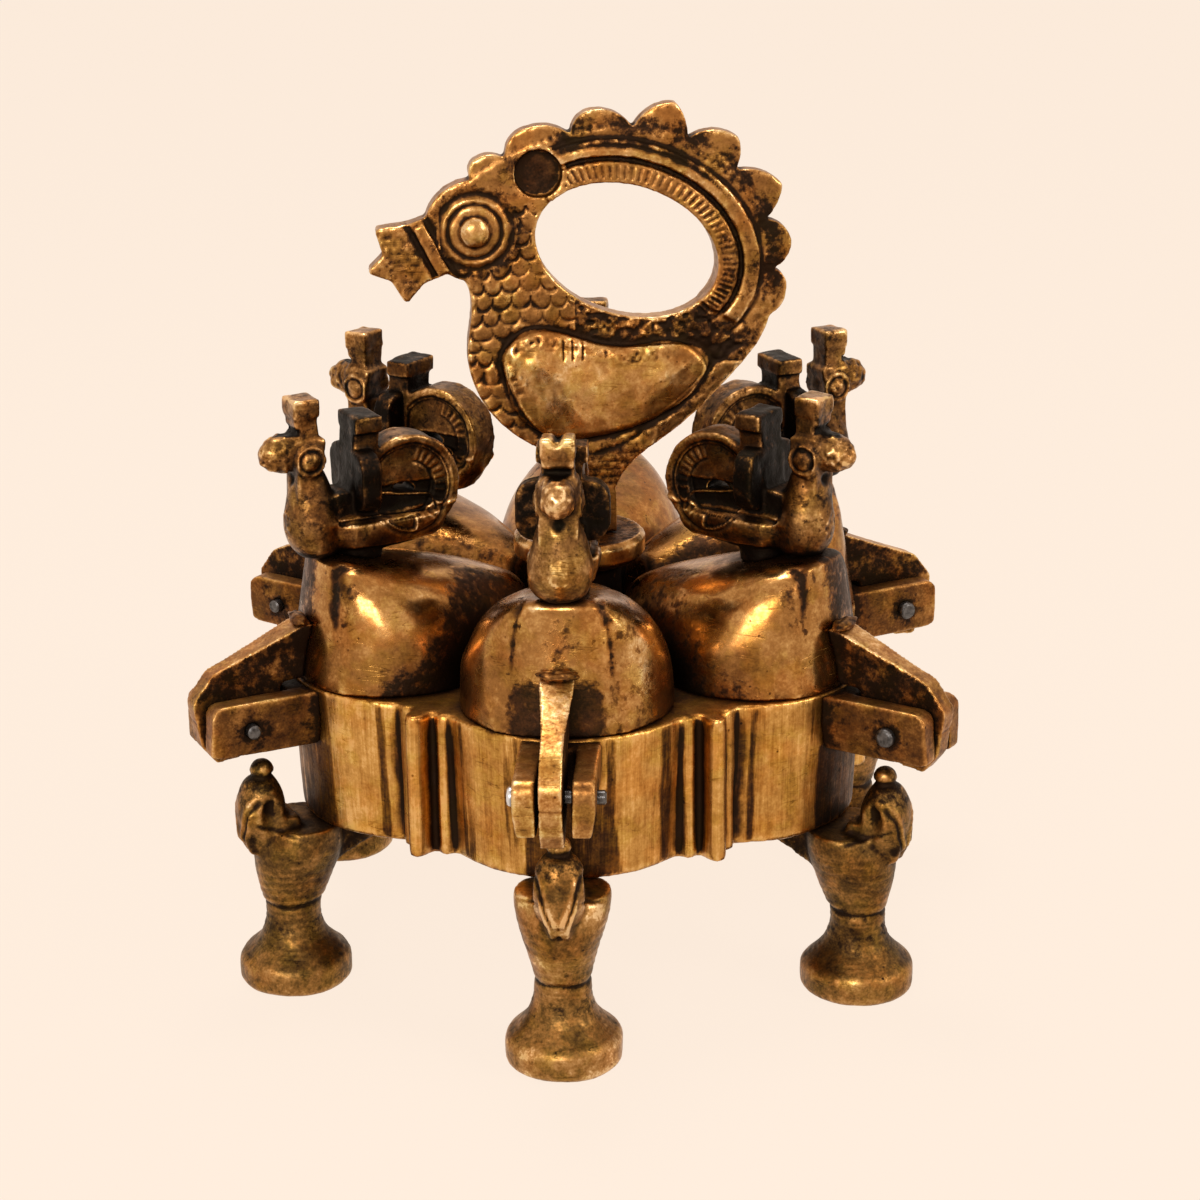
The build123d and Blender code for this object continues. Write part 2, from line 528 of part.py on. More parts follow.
if __name__ == "__main__":
    dome = lid_dome(0)
    hollow = lid_dome(LID_WALL)
    bracket = hinge_bracket()
    arm = hinge_arm(dome)
    one_pin = pin()
    one_leg = leg()
    pieces = {"box_body": box_body(), "handle_disc": handle_disc(), "peacock_handle": peacock_handle()}
    for k, place in enumerate(PLACES):
        peg_r = BIRD_FOOT_R + BIRD_SHIFTS[k]
        pieces[f"{place}_lid"] = turned(lid(dome, hollow, peg_r), k)
        pieces[f"{place}_bird"] = turned(bird(dome, BIRD_SHIFTS[k]), k)
        pieces[f"{place}_hinge_arm"] = turned(arm, k)
        pieces[f"{place}_hinge_bracket"] = turned(bracket, k)
        pieces[f"{place}_hinge_pin"] = turned(one_pin, k)
        pieces[f"{place}_leg"] = turned(one_leg, k)
    for name, shape in pieces.items():
        export_step(shape, f"parts/{name}.step")
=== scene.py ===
import json
from math import cos, pi, radians, sin

import bmesh
import bpy
import numpy as np
from mathutils import Matrix, Vector
from mathutils.bvhtree import BVHTree

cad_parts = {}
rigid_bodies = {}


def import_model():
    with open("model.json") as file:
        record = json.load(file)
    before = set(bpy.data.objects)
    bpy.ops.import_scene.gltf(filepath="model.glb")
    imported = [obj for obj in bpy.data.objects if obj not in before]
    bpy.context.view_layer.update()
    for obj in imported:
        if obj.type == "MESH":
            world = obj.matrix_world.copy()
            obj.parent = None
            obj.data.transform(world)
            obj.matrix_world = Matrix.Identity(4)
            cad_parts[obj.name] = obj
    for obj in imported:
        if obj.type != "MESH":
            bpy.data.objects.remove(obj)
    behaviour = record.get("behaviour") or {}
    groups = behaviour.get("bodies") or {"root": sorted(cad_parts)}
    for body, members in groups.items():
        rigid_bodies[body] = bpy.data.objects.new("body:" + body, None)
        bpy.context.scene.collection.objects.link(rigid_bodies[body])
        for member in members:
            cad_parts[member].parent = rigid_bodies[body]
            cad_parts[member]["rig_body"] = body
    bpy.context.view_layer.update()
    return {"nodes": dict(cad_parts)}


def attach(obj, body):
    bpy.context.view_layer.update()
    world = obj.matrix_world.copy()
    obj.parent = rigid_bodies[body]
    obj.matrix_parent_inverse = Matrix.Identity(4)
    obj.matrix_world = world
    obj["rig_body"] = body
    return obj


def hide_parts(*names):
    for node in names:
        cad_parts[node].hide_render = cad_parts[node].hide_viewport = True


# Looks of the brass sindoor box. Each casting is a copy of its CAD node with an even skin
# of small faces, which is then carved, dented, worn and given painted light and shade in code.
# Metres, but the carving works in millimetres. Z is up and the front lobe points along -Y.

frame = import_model()
nodes = frame["nodes"]

MM = 0.001

# The lobes by place: which way each points, how far its bird sits out and the painted light on its wall,
# below 0 for painted shade
PLACES = ("front", "front_right", "back_right", "back", "back_left", "front_left")
ENDS, LEFT, RIGHT = ("front", "back"), ("front_left", "back_left"), ("front_right", "back_right")
TURNS = {place: radians(-90 + 60 * k) for k, place in enumerate(PLACES)}
BIRD_SHIFTS = dict(zip(PLACES, (-2.0, -4.5, 0.0, -2.0, -4.5, 0.0)))
LOBE_LIGHTING = (0.03, -0.06, 0.0, 0.0, 0.0, 0.08)

# Millimetres and angles, as the solids have them
RIM_Z = 56.2
BODY_BOTTOM = 30.3
LID_TOP = 79.4
HEAD_R = 62.9
PIN_R, PIN_Z = 66.0, 51.0
ARM_TOP = RIM_Z + 10.8
PEACOCK_TURN = radians(9.2)
HOLE_CENTRE = (8.8, 126.1)
HOLE_LONG, HOLE_SHORT = 16.4, 11.3
HOLE_TILT = radians(-20)
TAIL_CENTRE = (9.2, 122.0)
TAIL_VALLEYS, VALLEY_REACH = (136, 112, 88, 66, 43, 20, 0), 26.5
EYE_PLACE = (-17.6, 130.3)
DIMPLE_PLACE = (-6.5, 139.9)
COLLAR_TILT = radians(27)
WING = ((-13.2, 105.6), (-11.0, 111.2), (-5.6, 112.6), (6.0, 109.4), (19.4, 109.2), (22.9, 105.2),
        (16.8, 97.8), (4.9, 93.4), (-6.2, 93.8))
BELLY_LINE = ((27.6, 112.4), (23.6, 105.0), (14.5, 96.4), (8.5, 91.8), (3.0, 89.8))
BIRD_TAIL, BIRD_EYE = (34.0, 88.8), (51.9, 95.8)

# Sizes of the faces of each skin and of the peacock's scales, in millimetres
SKINS = {"box_body": 0.72, "peacock_handle": 0.36, "handle_disc": 0.42, "lid": 0.5, "bird": 0.3,
         "leg": 0.42, "hinge_arm": 0.32, "hinge_bracket": 0.34}
SCALE_PITCH, SCALE_ROW = 3.3, 2.7

# How far a vertex looks for shelter by the parts around it, with how many rays, and one in how many does
# so; the material paints shade where it is sheltered
SHELTER_REACH = 7 * MM
SHELTER_RAYS = 14
SHELTER_SHARE = 3


# Numbers on many points at once

def lumps(points, size, seed=0):
    """Smooth random field from -1 to 1 with lumps of about this size."""
    grid = np.asarray(points) / size + seed * 7.31
    cell = np.floor(grid).astype(np.int64)
    part = grid - cell
    part = part * part * (3 - 2 * part)
    total = 0
    for corner in range(8):
        step = np.array([corner & 1, corner >> 1 & 1, corner >> 2 & 1])
        key = (cell + step) @ np.array([73856093, 19349663, 83492791])
        key = (key ^ (key >> 13)) * 1274126177
        value = ((key ^ (key >> 16)) & 0xFFFF) / 32768 - 1
        total = total + value * np.prod(np.where(step, part, 1 - part), axis=1)
    return total


def line(distance, width):
    """Height from 0 to 1 of a soft line this wide, by the distance from its middle."""
    return np.exp(-(2 * distance / width) ** 2)


def above(value, start, width):
    """0 up to start, rising to 1 over this width."""
    return np.clip((value - start) / width, 0, 1)


def below(value, end, width):
    """0 from end on, rising to 1 over this width before it."""
    return np.clip((end - value) / width, 0, 1)


def inside(value, low, high, soft=0.3):
    """1 where low < value < high, falling off softly at both ends."""
    return above(value, low, soft) * below(value, high, soft)


def ticks(along, pitch):
    """Rounded ridges from 0 to 1, one per pitch."""
    return 0.5 + 0.5 * np.cos(along * 2 * pi / pitch)


def smooth_path(points, closed=False, steps=8):
    """Even curve through a few chosen points."""
    p = np.array(points, float)
    if closed:
        p = np.vstack((p[-1], p, p[0], p[1]))
    else:
        p = np.vstack((2 * p[0] - p[1], p, 2 * p[-1] - p[-2]))
    out = []
    for a, b, c, d in zip(p, p[1:], p[2:], p[3:]):
        for k in range(steps):
            t = k / steps
            out.append(0.5 * (2 * b + (c - a) * t + (2 * a - 5 * b + 4 * c - d) * t**2
                              + (3 * b - a - 3 * c + d) * t**3))
    return np.array(out + [p[-2]])


def apart(u, z, centre):
    """Distance of each point from a centre in the same plane."""
    return np.hypot(u - centre[0], z - centre[1])


def turned(vectors, turn):
    """Points or normals as lengths along this turn, across it and up."""
    x, y, z = vectors.T
    return x * cos(turn) + y * sin(turn), -x * sin(turn) + y * cos(turn), z


def sideways(normals, turn):
    """How much each normal points across this turn, from 0 to 1."""
    return np.abs(turned(normals, turn)[1])


def path_distance(u, z, path):
    """Distance of each point from a path in the same plane."""
    best = np.full(len(u), 1e9)
    for (u0, z0), (u1, z1) in zip(path, path[1:]):
        du, dz = u1 - u0, z1 - z0
        t = np.clip(((u - u0) * du + (z - z0) * dz) / (du * du + dz * dz + 1e-12), 0, 1)
        best = np.minimum(best, np.hypot(u - u0 - t * du, z - z0 - t * dz))
    return best


# Skins: even meshes of the castings, and what is measured on them

def skin_of(node, size):
    """New object with the node's shape in an even mesh of faces of this size."""
    shape = bmesh.new()
    shape.from_mesh(nodes[node].data)
    bmesh.ops.remove_doubles(shape, verts=shape.verts, dist=1e-6)
    raw = bpy.data.meshes.new("raw")
    shape.to_mesh(raw)
    shape.free()
    cover = bpy.data.objects.new("cover", raw)
    bpy.context.scene.collection.objects.link(cover)
    remesh = cover.modifiers.new("skin", "REMESH")
    remesh.mode = "VOXEL"
    remesh.voxel_size = size * MM
    depsgraph = bpy.context.evaluated_depsgraph_get()
    mesh = bpy.data.meshes.new_from_object(cover.evaluated_get(depsgraph))
    bpy.data.objects.remove(cover)
    bpy.data.meshes.remove(raw)
    mesh.materials.clear()
    return mesh


def points_of(mesh):
    """Vertices of a mesh in millimetres, with their normals."""
    flat = np.empty(len(mesh.vertices) * 3)
    mesh.vertices.foreach_get("co", flat)
    normals = np.empty(len(mesh.vertices) * 3)
    mesh.vertices.foreach_get("normal", normals)
    return flat.reshape(-1, 3) / MM, normals.reshape(-1, 3)


def edges_of(mesh):
    """Vertex pairs of a mesh's edges, each both ways."""
    flat = np.empty(len(mesh.edges) * 2, np.int64)
    mesh.edges.foreach_get("vertices", flat)
    pairs = flat.reshape(-1, 2)
    return np.concatenate((pairs[:, 0], pairs[:, 1])), np.concatenate((pairs[:, 1], pairs[:, 0]))


def spread(values, edges, rounds):
    """Values of the vertices, averaged with their neighbours this many times."""
    here, there = edges
    count = np.maximum(np.bincount(here, minlength=len(values)), 1)
    columns = values.reshape(len(values), -1)
    for _ in range(rounds):
        near = [np.bincount(here, c[there], len(values)) / count for c in columns.T]
        columns = 0.3 * columns + 0.7 * np.stack(near, 1)
    return columns.reshape(values.shape)


def move(mesh, points):
    """Puts the vertices of a mesh at these points in millimetres."""
    mesh.vertices.foreach_set("co", (points * MM).ravel())
    mesh.update()


def note(mesh, name, values):
    """Writes one number per vertex, for the material to read."""
    mesh.attributes.new(name, "FLOAT", "POINT").data.foreach_set("value", values.astype(np.float32))


def all_solids():
    """Tree of every CAD node's faces, for finding what shelters what."""
    corners, faces, first = [], [], 0
    for obj in nodes.values():
        points, _ = points_of(obj.data)
        corners += (points * MM).tolist()
        flat = np.empty(len(obj.data.polygons) * 3, np.int64)
        obj.data.polygons.foreach_get("vertices", flat)
        faces += (flat.reshape(-1, 3) + first).tolist()
        first += len(points)
    return BVHTree.FromPolygons(corners, faces, all_triangles=True)


def openness(points, normals, edges, tree, seed):
    """How open each vertex is to its surroundings, from 0 in a cleft to 1 in the open. The material
    darkens it where it is low: painted shade from the parts around, and patina in the clefts.
    """
    chance = np.random.default_rng(seed)
    chosen = np.flatnonzero(chance.random(len(points)) < 1 / SHELTER_SHARE)
    rays = chance.normal(size=(len(chosen), SHELTER_RAYS, 3))
    rays /= np.linalg.norm(rays, axis=2, keepdims=True)
    rays = rays + normals[chosen, None, :] * 1.05
    rays /= np.linalg.norm(rays, axis=2, keepdims=True)
    starts = (points[chosen] + normals[chosen] * 0.25) * MM
    free = np.zeros(len(points))
    for vertex, start, fan in zip(chosen, starts.tolist(), rays.tolist()):
        hit = 0.0
        for ray in fan:
            far = tree.ray_cast(start, ray, SHELTER_REACH)[3]
            if far is not None:
                hit += 1 - 0.6 * far / SHELTER_REACH
        free[vertex] = 1 - hit / SHELTER_RAYS
    known = np.zeros(len(points))
    known[chosen] = 1
    both = spread(np.stack((free, known), 1), edges, 5)
    return both[:, 0] / np.maximum(both[:, 1], 1e-6)


def finish_piece(node, carved, mat, dent, tree):
    """Dents and measures a carved skin, and puts it in the node's place."""
    mesh, soot_and_shade, tone = carved
    points, normals = points_of(mesh)
    seed = sorted(nodes).index(node)
    edges = edges_of(mesh)
    small, broad = dent
    push = small * lumps(points, 0.9, seed) + 0.6 * small * lumps(points, 0.45, seed)
    push += broad * lumps(points, 5.0, seed)
    solid, _ = points_of(nodes[node].data)
    move(mesh, np.clip(points + normals * push[:, None], solid.min(0), solid.max(0)))
    points, normals = points_of(mesh)
    fine = ((points - spread(points, edges, 3)) * normals).sum(1)
    wide = ((points - spread(points, edges, 12)) * normals).sum(1)
    note(mesh, "edge", np.clip(fine * 4.5 + wide * 1.6, -1, 1) * 0.5 + 0.5)
    # painted shade: how much the parts around hide each vertex, darkened in the material
    note(mesh, "open", openness(points, normals, edges, tree, seed))
    # soot, with painted shade under and between parts on some pieces
    note(mesh, "soot_and_shade", np.clip(soot_and_shade, 0, 1))
    note(mesh, "tone", tone)
    for face in mesh.polygons:
        face.use_smooth = True
    piece = bpy.data.objects.new(node + "_cast", mesh)
    bpy.context.scene.collection.objects.link(piece)
    set_material(piece, mat)
    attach(piece, nodes[node]["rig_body"])
    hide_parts(node)
    return piece


# Finishes

BLACK = (0.022, 0.012, 0.007)
UMBER = (0.062, 0.026, 0.011)
BROWN = (0.160, 0.066, 0.018)
AMBER = (0.360, 0.165, 0.046)
GOLD = (0.575, 0.320, 0.112)
PALE = (0.78, 0.53, 0.27)
COPPER, OLIVE = (1.0, 0.84, 0.68), (0.93, 1.0, 0.72)
IRON, BRIGHT_STEEL = (0.16, 0.15, 0.145), (0.75, 0.75, 0.77)
CREAM = (1.0, 0.855, 0.73)

# Colours by tone, from soot to rubbed brass
GOLDEN_TONES = ((0.0, BLACK), (0.2, UMBER), (0.45, BROWN), (0.7, AMBER), (0.88, GOLD), (1.0, PALE))
YELLOW_TONES = ((0.0, BLACK), (0.2, UMBER), (0.45, (0.185, 0.078, 0.016)),
                (0.7, (0.43, 0.200, 0.044)), (0.9, (0.63, 0.335, 0.090)), (1.0, (0.78, 0.46, 0.165)))
DARK_TONES = ((0.0, (0.010, 0.007, 0.005)), (0.25, (0.032, 0.016, 0.008)),
              (0.5, (0.100, 0.045, 0.015)), (0.72, (0.26, 0.125, 0.038)),
              (0.9, (0.48, 0.265, 0.100)), (1.0, PALE))
LEG_TONES = ((0.0, BLACK), (0.22, (0.044, 0.023, 0.010)), (0.48, (0.140, 0.073, 0.020)),
             (0.70, (0.32, 0.158, 0.044)), (0.9, (0.50, 0.275, 0.100)), (1.0, PALE))


def new_material(name):
    """Material with an empty node tree but for its shader and output."""
    mat = bpy.data.materials.new(name)
    mat.use_nodes = True
    tree = mat.node_tree
    tree.nodes.clear()
    shader = tree.nodes.new("ShaderNodeBsdfPrincipled")
    out = tree.nodes.new("ShaderNodeOutputMaterial")
    tree.links.new(shader.outputs[0], out.inputs[0])
    return mat, tree, shader


def place_of(tree, stretch=(1, 1, 1)):
    """Object coordinates, stretched."""
    place = tree.nodes.new("ShaderNodeTexCoord")
    mapping = tree.nodes.new("ShaderNodeMapping")
    mapping.inputs["Scale"].default_value = stretch
    tree.links.new(place.outputs["Object"], mapping.inputs[0])
    return mapping.outputs[0]


def noise_at(tree, size, detail=4.0, stretch=(1, 1, 1), rough=0.55):
    """Noise with lumps of this size in millimetres."""
    tex = tree.nodes.new("ShaderNodeTexNoise")
    tex.inputs["Scale"].default_value = 1 / (size * MM)
    tex.inputs["Detail"].default_value = detail
    tex.inputs["Roughness"].default_value = rough
    tree.links.new(place_of(tree, stretch), tex.inputs["Vector"])
    return tex.outputs[0]


def pits_at(tree, size, radius):
    """Small round pits: 1 in a pit and 0 around it."""
    tex = tree.nodes.new("ShaderNodeTexVoronoi")
    tex.inputs["Scale"].default_value = 1 / (size * MM)
    tree.links.new(place_of(tree), tex.inputs["Vector"])
    return remap(tree, tex.outputs["Distance"], radius, radius * 0.5)


def remap(tree, value, low, high, to_low=0.0, to_high=1.0):
    """Value mapped from low..high to the new range, held at its ends."""
    node = tree.nodes.new("ShaderNodeMapRange")
    for index, number in enumerate((low, high, to_low, to_high)):
        node.inputs[index + 1].default_value = number
    tree.links.new(value, node.inputs[0])
    return node.outputs[0]


def sums(tree, kind, a, b, clamp=False):
    """Math node on two inputs, each a socket or a number."""
    node = tree.nodes.new("ShaderNodeMath")
    node.operation = kind
    node.use_clamp = clamp
    for index, item in enumerate((a, b)):
        if isinstance(item, (int, float)):
            node.inputs[index].default_value = item
        else:
            tree.links.new(item, node.inputs[index])
    return node.outputs[0]


def noted(tree, name):
    """What was noted on the vertices under this name."""
    node = tree.nodes.new("ShaderNodeAttribute")
    node.attribute_name = name
    return node.outputs["Fac"]


def ramp(tree, value, stops):
    """Colour by value, from (place, colour) stops."""
    node = tree.nodes.new("ShaderNodeValToRGB")
    band = node.color_ramp
    while len(band.elements) < len(stops):
        band.elements.new(0.5)
    for element, (where, colour) in zip(band.elements, stops):
        element.position = where
        element.color = (*colour, 1)
    tree.links.new(value, node.inputs[0])
    return node.outputs[0]


def mixed(tree, paint, share, colour, kind="MIX"):
    """Paint blended with one colour, as much as share says."""
    node = tree.nodes.new("ShaderNodeMix")
    node.data_type = "RGBA"
    node.blend_type = kind
    tree.links.new(share, node.inputs[0])
    tree.links.new(paint, node.inputs[6])
    node.inputs[7].default_value = (*colour, 1)
    return node.outputs[2]


def lowered(tree, value, mark, share):
    """Value less this share of a mark."""
    return sums(tree, "SUBTRACT", value, sums(tree, "MULTIPLY", mark, share))


def set_bump(tree, shader, height, depth):
    """Fine relief on the skin; depth is in millimetres."""
    bump = tree.nodes.new("ShaderNodeBump")
    bump.inputs["Strength"].default_value = 0.5
    bump.inputs["Distance"].default_value = depth * MM
    tree.links.new(height, bump.inputs["Height"])
    tree.links.new(bump.outputs[0], shader.inputs["Normal"])


def aged_and_shaded_tone(tree, level, mottle, wear, dirt_and_shade):
    """Brightness of brass before its soot and painted shade: mottled, rubbed on edges, dark with patina in
    clefts and with painted shade where nearby parts shelter it.
    """
    tone = sums(tree, "ADD", noted(tree, "tone"), level)
    for size, share in ((9, 0.7), (2.6, 0.5), (0.9, 0.45), (0.4, 0.4)):
        stain = remap(tree, noise_at(tree, size, 4), 0.3, 0.7, -mottle * share, mottle * share)
        tone = sums(tree, "ADD", tone, stain)
    edge = remap(tree, noted(tree, "edge"), 0.54, 0.95, 0, wear)
    cleft = remap(tree, noted(tree, "edge"), 0.47, 0.12, 0, dirt_and_shade)
    # painted shade where nearby parts shelter the surface, with some patina there
    shelter_shade = remap(tree, noted(tree, "open"), 0.80, 0.15, 0, dirt_and_shade * 0.9)
    return sums(tree, "SUBTRACT", sums(tree, "ADD", tone, edge), sums(tree, "ADD", cleft, shelter_shade))


def ragged_soot_and_shade(tree, crumb, upright):
    """Soot and painted shade where they were noted, with ragged edges, drawn out along Z if upright."""
    along = (1, 1, 0.05) if upright else (1, 1, 1)
    crumbs = remap(tree, noise_at(tree, crumb, 7, along, 0.68), 0.3, 0.7, -0.42, 0.42)
    return remap(tree, sums(tree, "ADD", noted(tree, "soot_and_shade"), crumbs), 0.34, 0.74)


def hair_scratches(tree):
    """1 in a fine scratch and 0 beside it; they lie in patches."""
    hair = sums(tree, "SUBTRACT", noise_at(tree, 2.4, 1, (0.12, 0.5, 1.6)), 0.5)
    scratch = remap(tree, sums(tree, "ABSOLUTE", hair, 0), 0.012, 0.002)
    return sums(tree, "MULTIPLY", scratch, remap(tree, noise_at(tree, 5, 1), 0.52, 0.6))


def brass(name, tones, level=0.6, mottle=0.2, wear=0.45, dirt_and_shade=0.8, rough=(0.26, 0.62),
          grain=(0.5, 0.25), pits=(2.6, 0.11), crumb=2.0, brush=0.0):
    """Aged brass: black with patina in clefts, brown with painted shade where nearby parts shelter it and
    gold where hands rub it.

    level is how bright the plain surface is, from 0 to 1, mottle how much it varies, wear how
    much edges brighten and dirt_and_shade how much clefts darken with patina and sheltered
    places with painted shade. crumb is the size of the ragged edges of the soot and painted
    shade, and brush the strength of streaks along Z.
    """
    mat, tree, shader = new_material(name)
    soot_and_shade = ragged_soot_and_shade(tree, crumb, brush)
    tone = lowered(tree, aged_and_shaded_tone(tree, level, mottle, wear, dirt_and_shade), soot_and_shade, 0.58)
    height = sums(tree, "MULTIPLY", noise_at(tree, grain[0], 6), grain[1])
    height = sums(tree, "ADD", height, sums(tree, "MULTIPLY", soot_and_shade, noise_at(tree, 0.5, 3)))
    if brush:
        for size, share in ((1.1, 1.0), (0.35, 0.6)):
            streaks = noise_at(tree, size, 5, (1, 1, 0.03), 0.65)
            streaks = remap(tree, streaks, 0.3, 0.7, -brush, brush)
            tone = sums(tree, "ADD", tone, sums(tree, "MULTIPLY", streaks, share))
            height = sums(tree, "ADD", height, streaks)
    scratch = hair_scratches(tree)
    dots = sums(tree, "MULTIPLY", pits_at(tree, *pits), remap(tree, noise_at(tree, 7, 2), 0.48, 0.6))
    tone = lowered(tree, lowered(tree, tone, scratch, 0.2), dots, 0.4)
    height = lowered(tree, lowered(tree, height, scratch, 0.3), dots, 0.4)
    paint = ramp(tree, tone, tones)
    for size, tint in ((7, COPPER), (5, OLIVE)):
        share = remap(tree, noise_at(tree, size, 3), 0.48, 0.62, 0, 0.75)
        paint = mixed(tree, paint, share, tint, "MULTIPLY")
    gloss = sums(tree, "ADD", remap(tree, tone, 0.1, 0.8, rough[1], rough[0]),
                 remap(tree, noise_at(tree, 2.0, 4), 0.3, 0.7, -0.05, 0.05))
    tree.links.new(paint, shader.inputs["Base Color"])
    tree.links.new(gloss, shader.inputs["Roughness"])
    shader.inputs["Metallic"].default_value = 1.0
    set_bump(tree, shader, height, 0.12)
    return mat


def iron(name, rough, new_end=False):
    """Drawn iron wire with hammered ends; a new end, at the viewer's left, is bright."""
    mat, tree, shader = new_material(name)
    stain = remap(tree, noise_at(tree, 0.8, 4), 0.35, 0.65)
    dark = tuple(0.35 * c for c in IRON)
    paint = ramp(tree, stain, ((0.0, dark), (1.0, IRON)))
    if new_end:
        along = tree.nodes.new("ShaderNodeSeparateXYZ")
        tree.links.new(place_of(tree), along.inputs[0])
        share = remap(tree, along.outputs[0], -7.0 * MM, -7.6 * MM)
        paint = mixed(tree, paint, share, BRIGHT_STEEL)
    tree.links.new(paint, shader.inputs["Base Color"])
    shader.inputs["Metallic"].default_value = 1.0
    shader.inputs["Roughness"].default_value = rough
    set_bump(tree, shader, noise_at(tree, 0.6, 5), 0.08)
    return mat


def set_material(obj, mat):
    """The object has this one material."""
    obj.data.materials.clear()
    obj.data.materials.append(mat)


# Carving. Each carved_ function returns a skin with the soot and painted shade of its vertices,
# and their tone, which holds painted light and shade in places. Points on a lobe are out from
# the axis, across to the right as seen from outside, and up.

def carve(mesh, push):
    """Moves each vertex this far along its normal."""
    points, normals = points_of(mesh)
    move(mesh, points + normals * push[:, None])


def soften(mesh, rounds, share):
    """Rounds a skin off by averaging, each vertex by its share from 0 to 1."""
    points, _ = points_of(mesh)
    move(mesh, points + (spread(points, edges_of(mesh), rounds) - points) * share[:, None])


def pinch(mesh, place, share):
    """Draws vertices in towards the upright middle plane of their lobe."""
    points, _ = points_of(mesh)
    _, across, _ = turned(points, TURNS[place])
    aside = np.array((-sin(TURNS[place]), cos(TURNS[place]), 0))
    move(mesh, points - (across * share)[:, None] * aside)


def end_lid_soot(points, place, crease, seam):
    """Soot on the front or back lid: round its arm, in its creases and down its flanks."""
    out, across, up = turned(points, TURNS[place])
    outer = above(out, 46, 2)
    patch = outer * inside(across, -10.0, 8.6, 2.6) * below(up, 67.4 + 1.2 * lumps(points, 3, 2), 4)
    creases = np.maximum(seam, line(crease, 2.4) * outer * (across > 0))
    web = outer * inside(across, -4.5, 4.5, 3) * inside(up, 66, 77, 3)
    flank = inside(across, 8.0, 17, 2) * above(out, 34, 6) * line(across - 12.5 + (up - 66) * 0.25, 6)
    return np.maximum.reduce((0.9775 * patch, 0.4125 * creases, 0.42 * web, 0.36 * flank))


def side_lid_soot_and_shade(points, place, seam):
    """Soot on one of the other four lids round its arm, and painted shade low on the side that is seen."""
    out, across, up = turned(points, TURNS[place])
    seen = across if place in LEFT else -across
    outer = above(out, 46, 2)
    patch = outer * inside(seen, -12, 3.5, 2.5)
    edge = outer * inside(seen, 8.6, 12, 1) * above(up, 62, 8)
    # painted shade low on the seen side of the lid
    shade = inside(seen, 3, 30, 2) * (out < 51)
    shade = shade * below(up, 58 + 0.8 * (50 - out) + 1.5 * lumps(points, 5, 9), 5)
    depth = 0.75 if place in ("front_left", "back_right") else 0.4
    return np.maximum.reduce((0.7225 * patch, 0.55 * seam, 0.4 * edge, depth * shade))


def lid_tone(points, place):
    """Tone of a lid: painted shade in its valleys beside the next lids and along its rim, and painted
    highlights on its shoulders.
    """
    out, across, up = turned(points, TURNS[place])
    half_width = 0.5774 * np.minimum(out, 37)
    # painted shade in the valleys beside the next lids
    valley_shade = np.clip((np.abs(across) / half_width - 0.55) * 2.2, 0, 1) * (out < 46)
    if place in ENDS:
        # painted highlights down both shoulders of the front and back lids
        painted_sheen = line(across - 13.6, 4.5) * inside(up, 58, 75, 4)
        painted_sheen = painted_sheen + 0.5 * line(across + 14, 6) * inside(up, 60, 74, 4)
    else:
        seen = across if place in LEFT else -across
        # painted highlight high on the side of the lid that is seen
        painted_sheen = line(up - 70 + 0.3 * (out - 42), 9) * line(out - 40, 14) * (seen > 0)
    # mottle, then painted shade in the valleys and along the gap at the rim
    tone = 0.05 * lumps(points, 12, 8) - 0.34 * valley_shade * below(up, 74, 14) - 0.2 * below(up, 58.2, 2)
    return tone + 0.06 * above(out, 46, 2) * (np.abs(across) < 8) + 0.22 * painted_sheen


def carved_lid(place):
    """Lid with worn shoulders, dark creases beside its flat panel and soot round the hinge arm."""
    mesh = skin_of(f"{place}_lid", SKINS["lid"])
    points, _ = points_of(mesh)
    out, across, up = turned(points, TURNS[place])
    soften(mesh, 16, above(up, RIM_Z + 1.5, 2.5))
    outer = above(out, 46, 2)
    rise = above(up, RIM_Z, LID_TOP - RIM_Z)
    crease = np.abs(across) - (9.4 - 2.8 * rise**1.5) + 0.35 * lumps(points, 6, 3)
    seam = line(crease, 1.2 if place in ENDS else 2.2) * outer * np.clip((rise - 0.25) * 2.5, 0.2, 1)
    brow = line(up - 77.6, 1.0) * (np.abs(across) < 7.5) * outer
    carve(mesh, 0.14 * brow - 0.28 * seam + 0.12 * lumps(points, 9, 5) + 0.05 * lumps(points, 3.5, 6))
    if place in ENDS:
        soot_and_shade = end_lid_soot(points, place, crease, seam)
    else:
        soot_and_shade = side_lid_soot_and_shade(points, place, seam)
    pocks = np.clip(lumps(points, 1.0, 31) * 4 - 1.9, 0, 1) * np.exp(-((crease * 0.3) ** 2))
    pocks = pocks * (out > 42) * (rise > 0.4)
    soot_and_shade = np.maximum.reduce((soot_and_shade, 0.8 * pocks, 0.35 * below(out, 21, 7)))
    return mesh, soot_and_shade, lid_tone(points, place)


def bird_zones(points, normals, place):
    """Out, across and up from the bird's own stand, its flat sides, tail radius and tail fan."""
    out, across, up = turned(points, TURNS[place])
    out = out - BIRD_SHIFTS[place]
    side = np.clip((sideways(normals, TURNS[place]) - 0.55) * 4, 0, 1)
    tail_r = apart(out, up, BIRD_TAIL)
    tail_turn = np.arctan2(up - BIRD_TAIL[1], BIRD_TAIL[0] - out)
    fan = side * inside(tail_turn, -1.25, 1.45, 0.2)
    ribs = (ticks(tail_turn, 2 * pi / 30) - 0.6) * inside(tail_r, 4.6, 7.1, 0.5) * fan
    return out, across, up, side, tail_r, fan, ribs


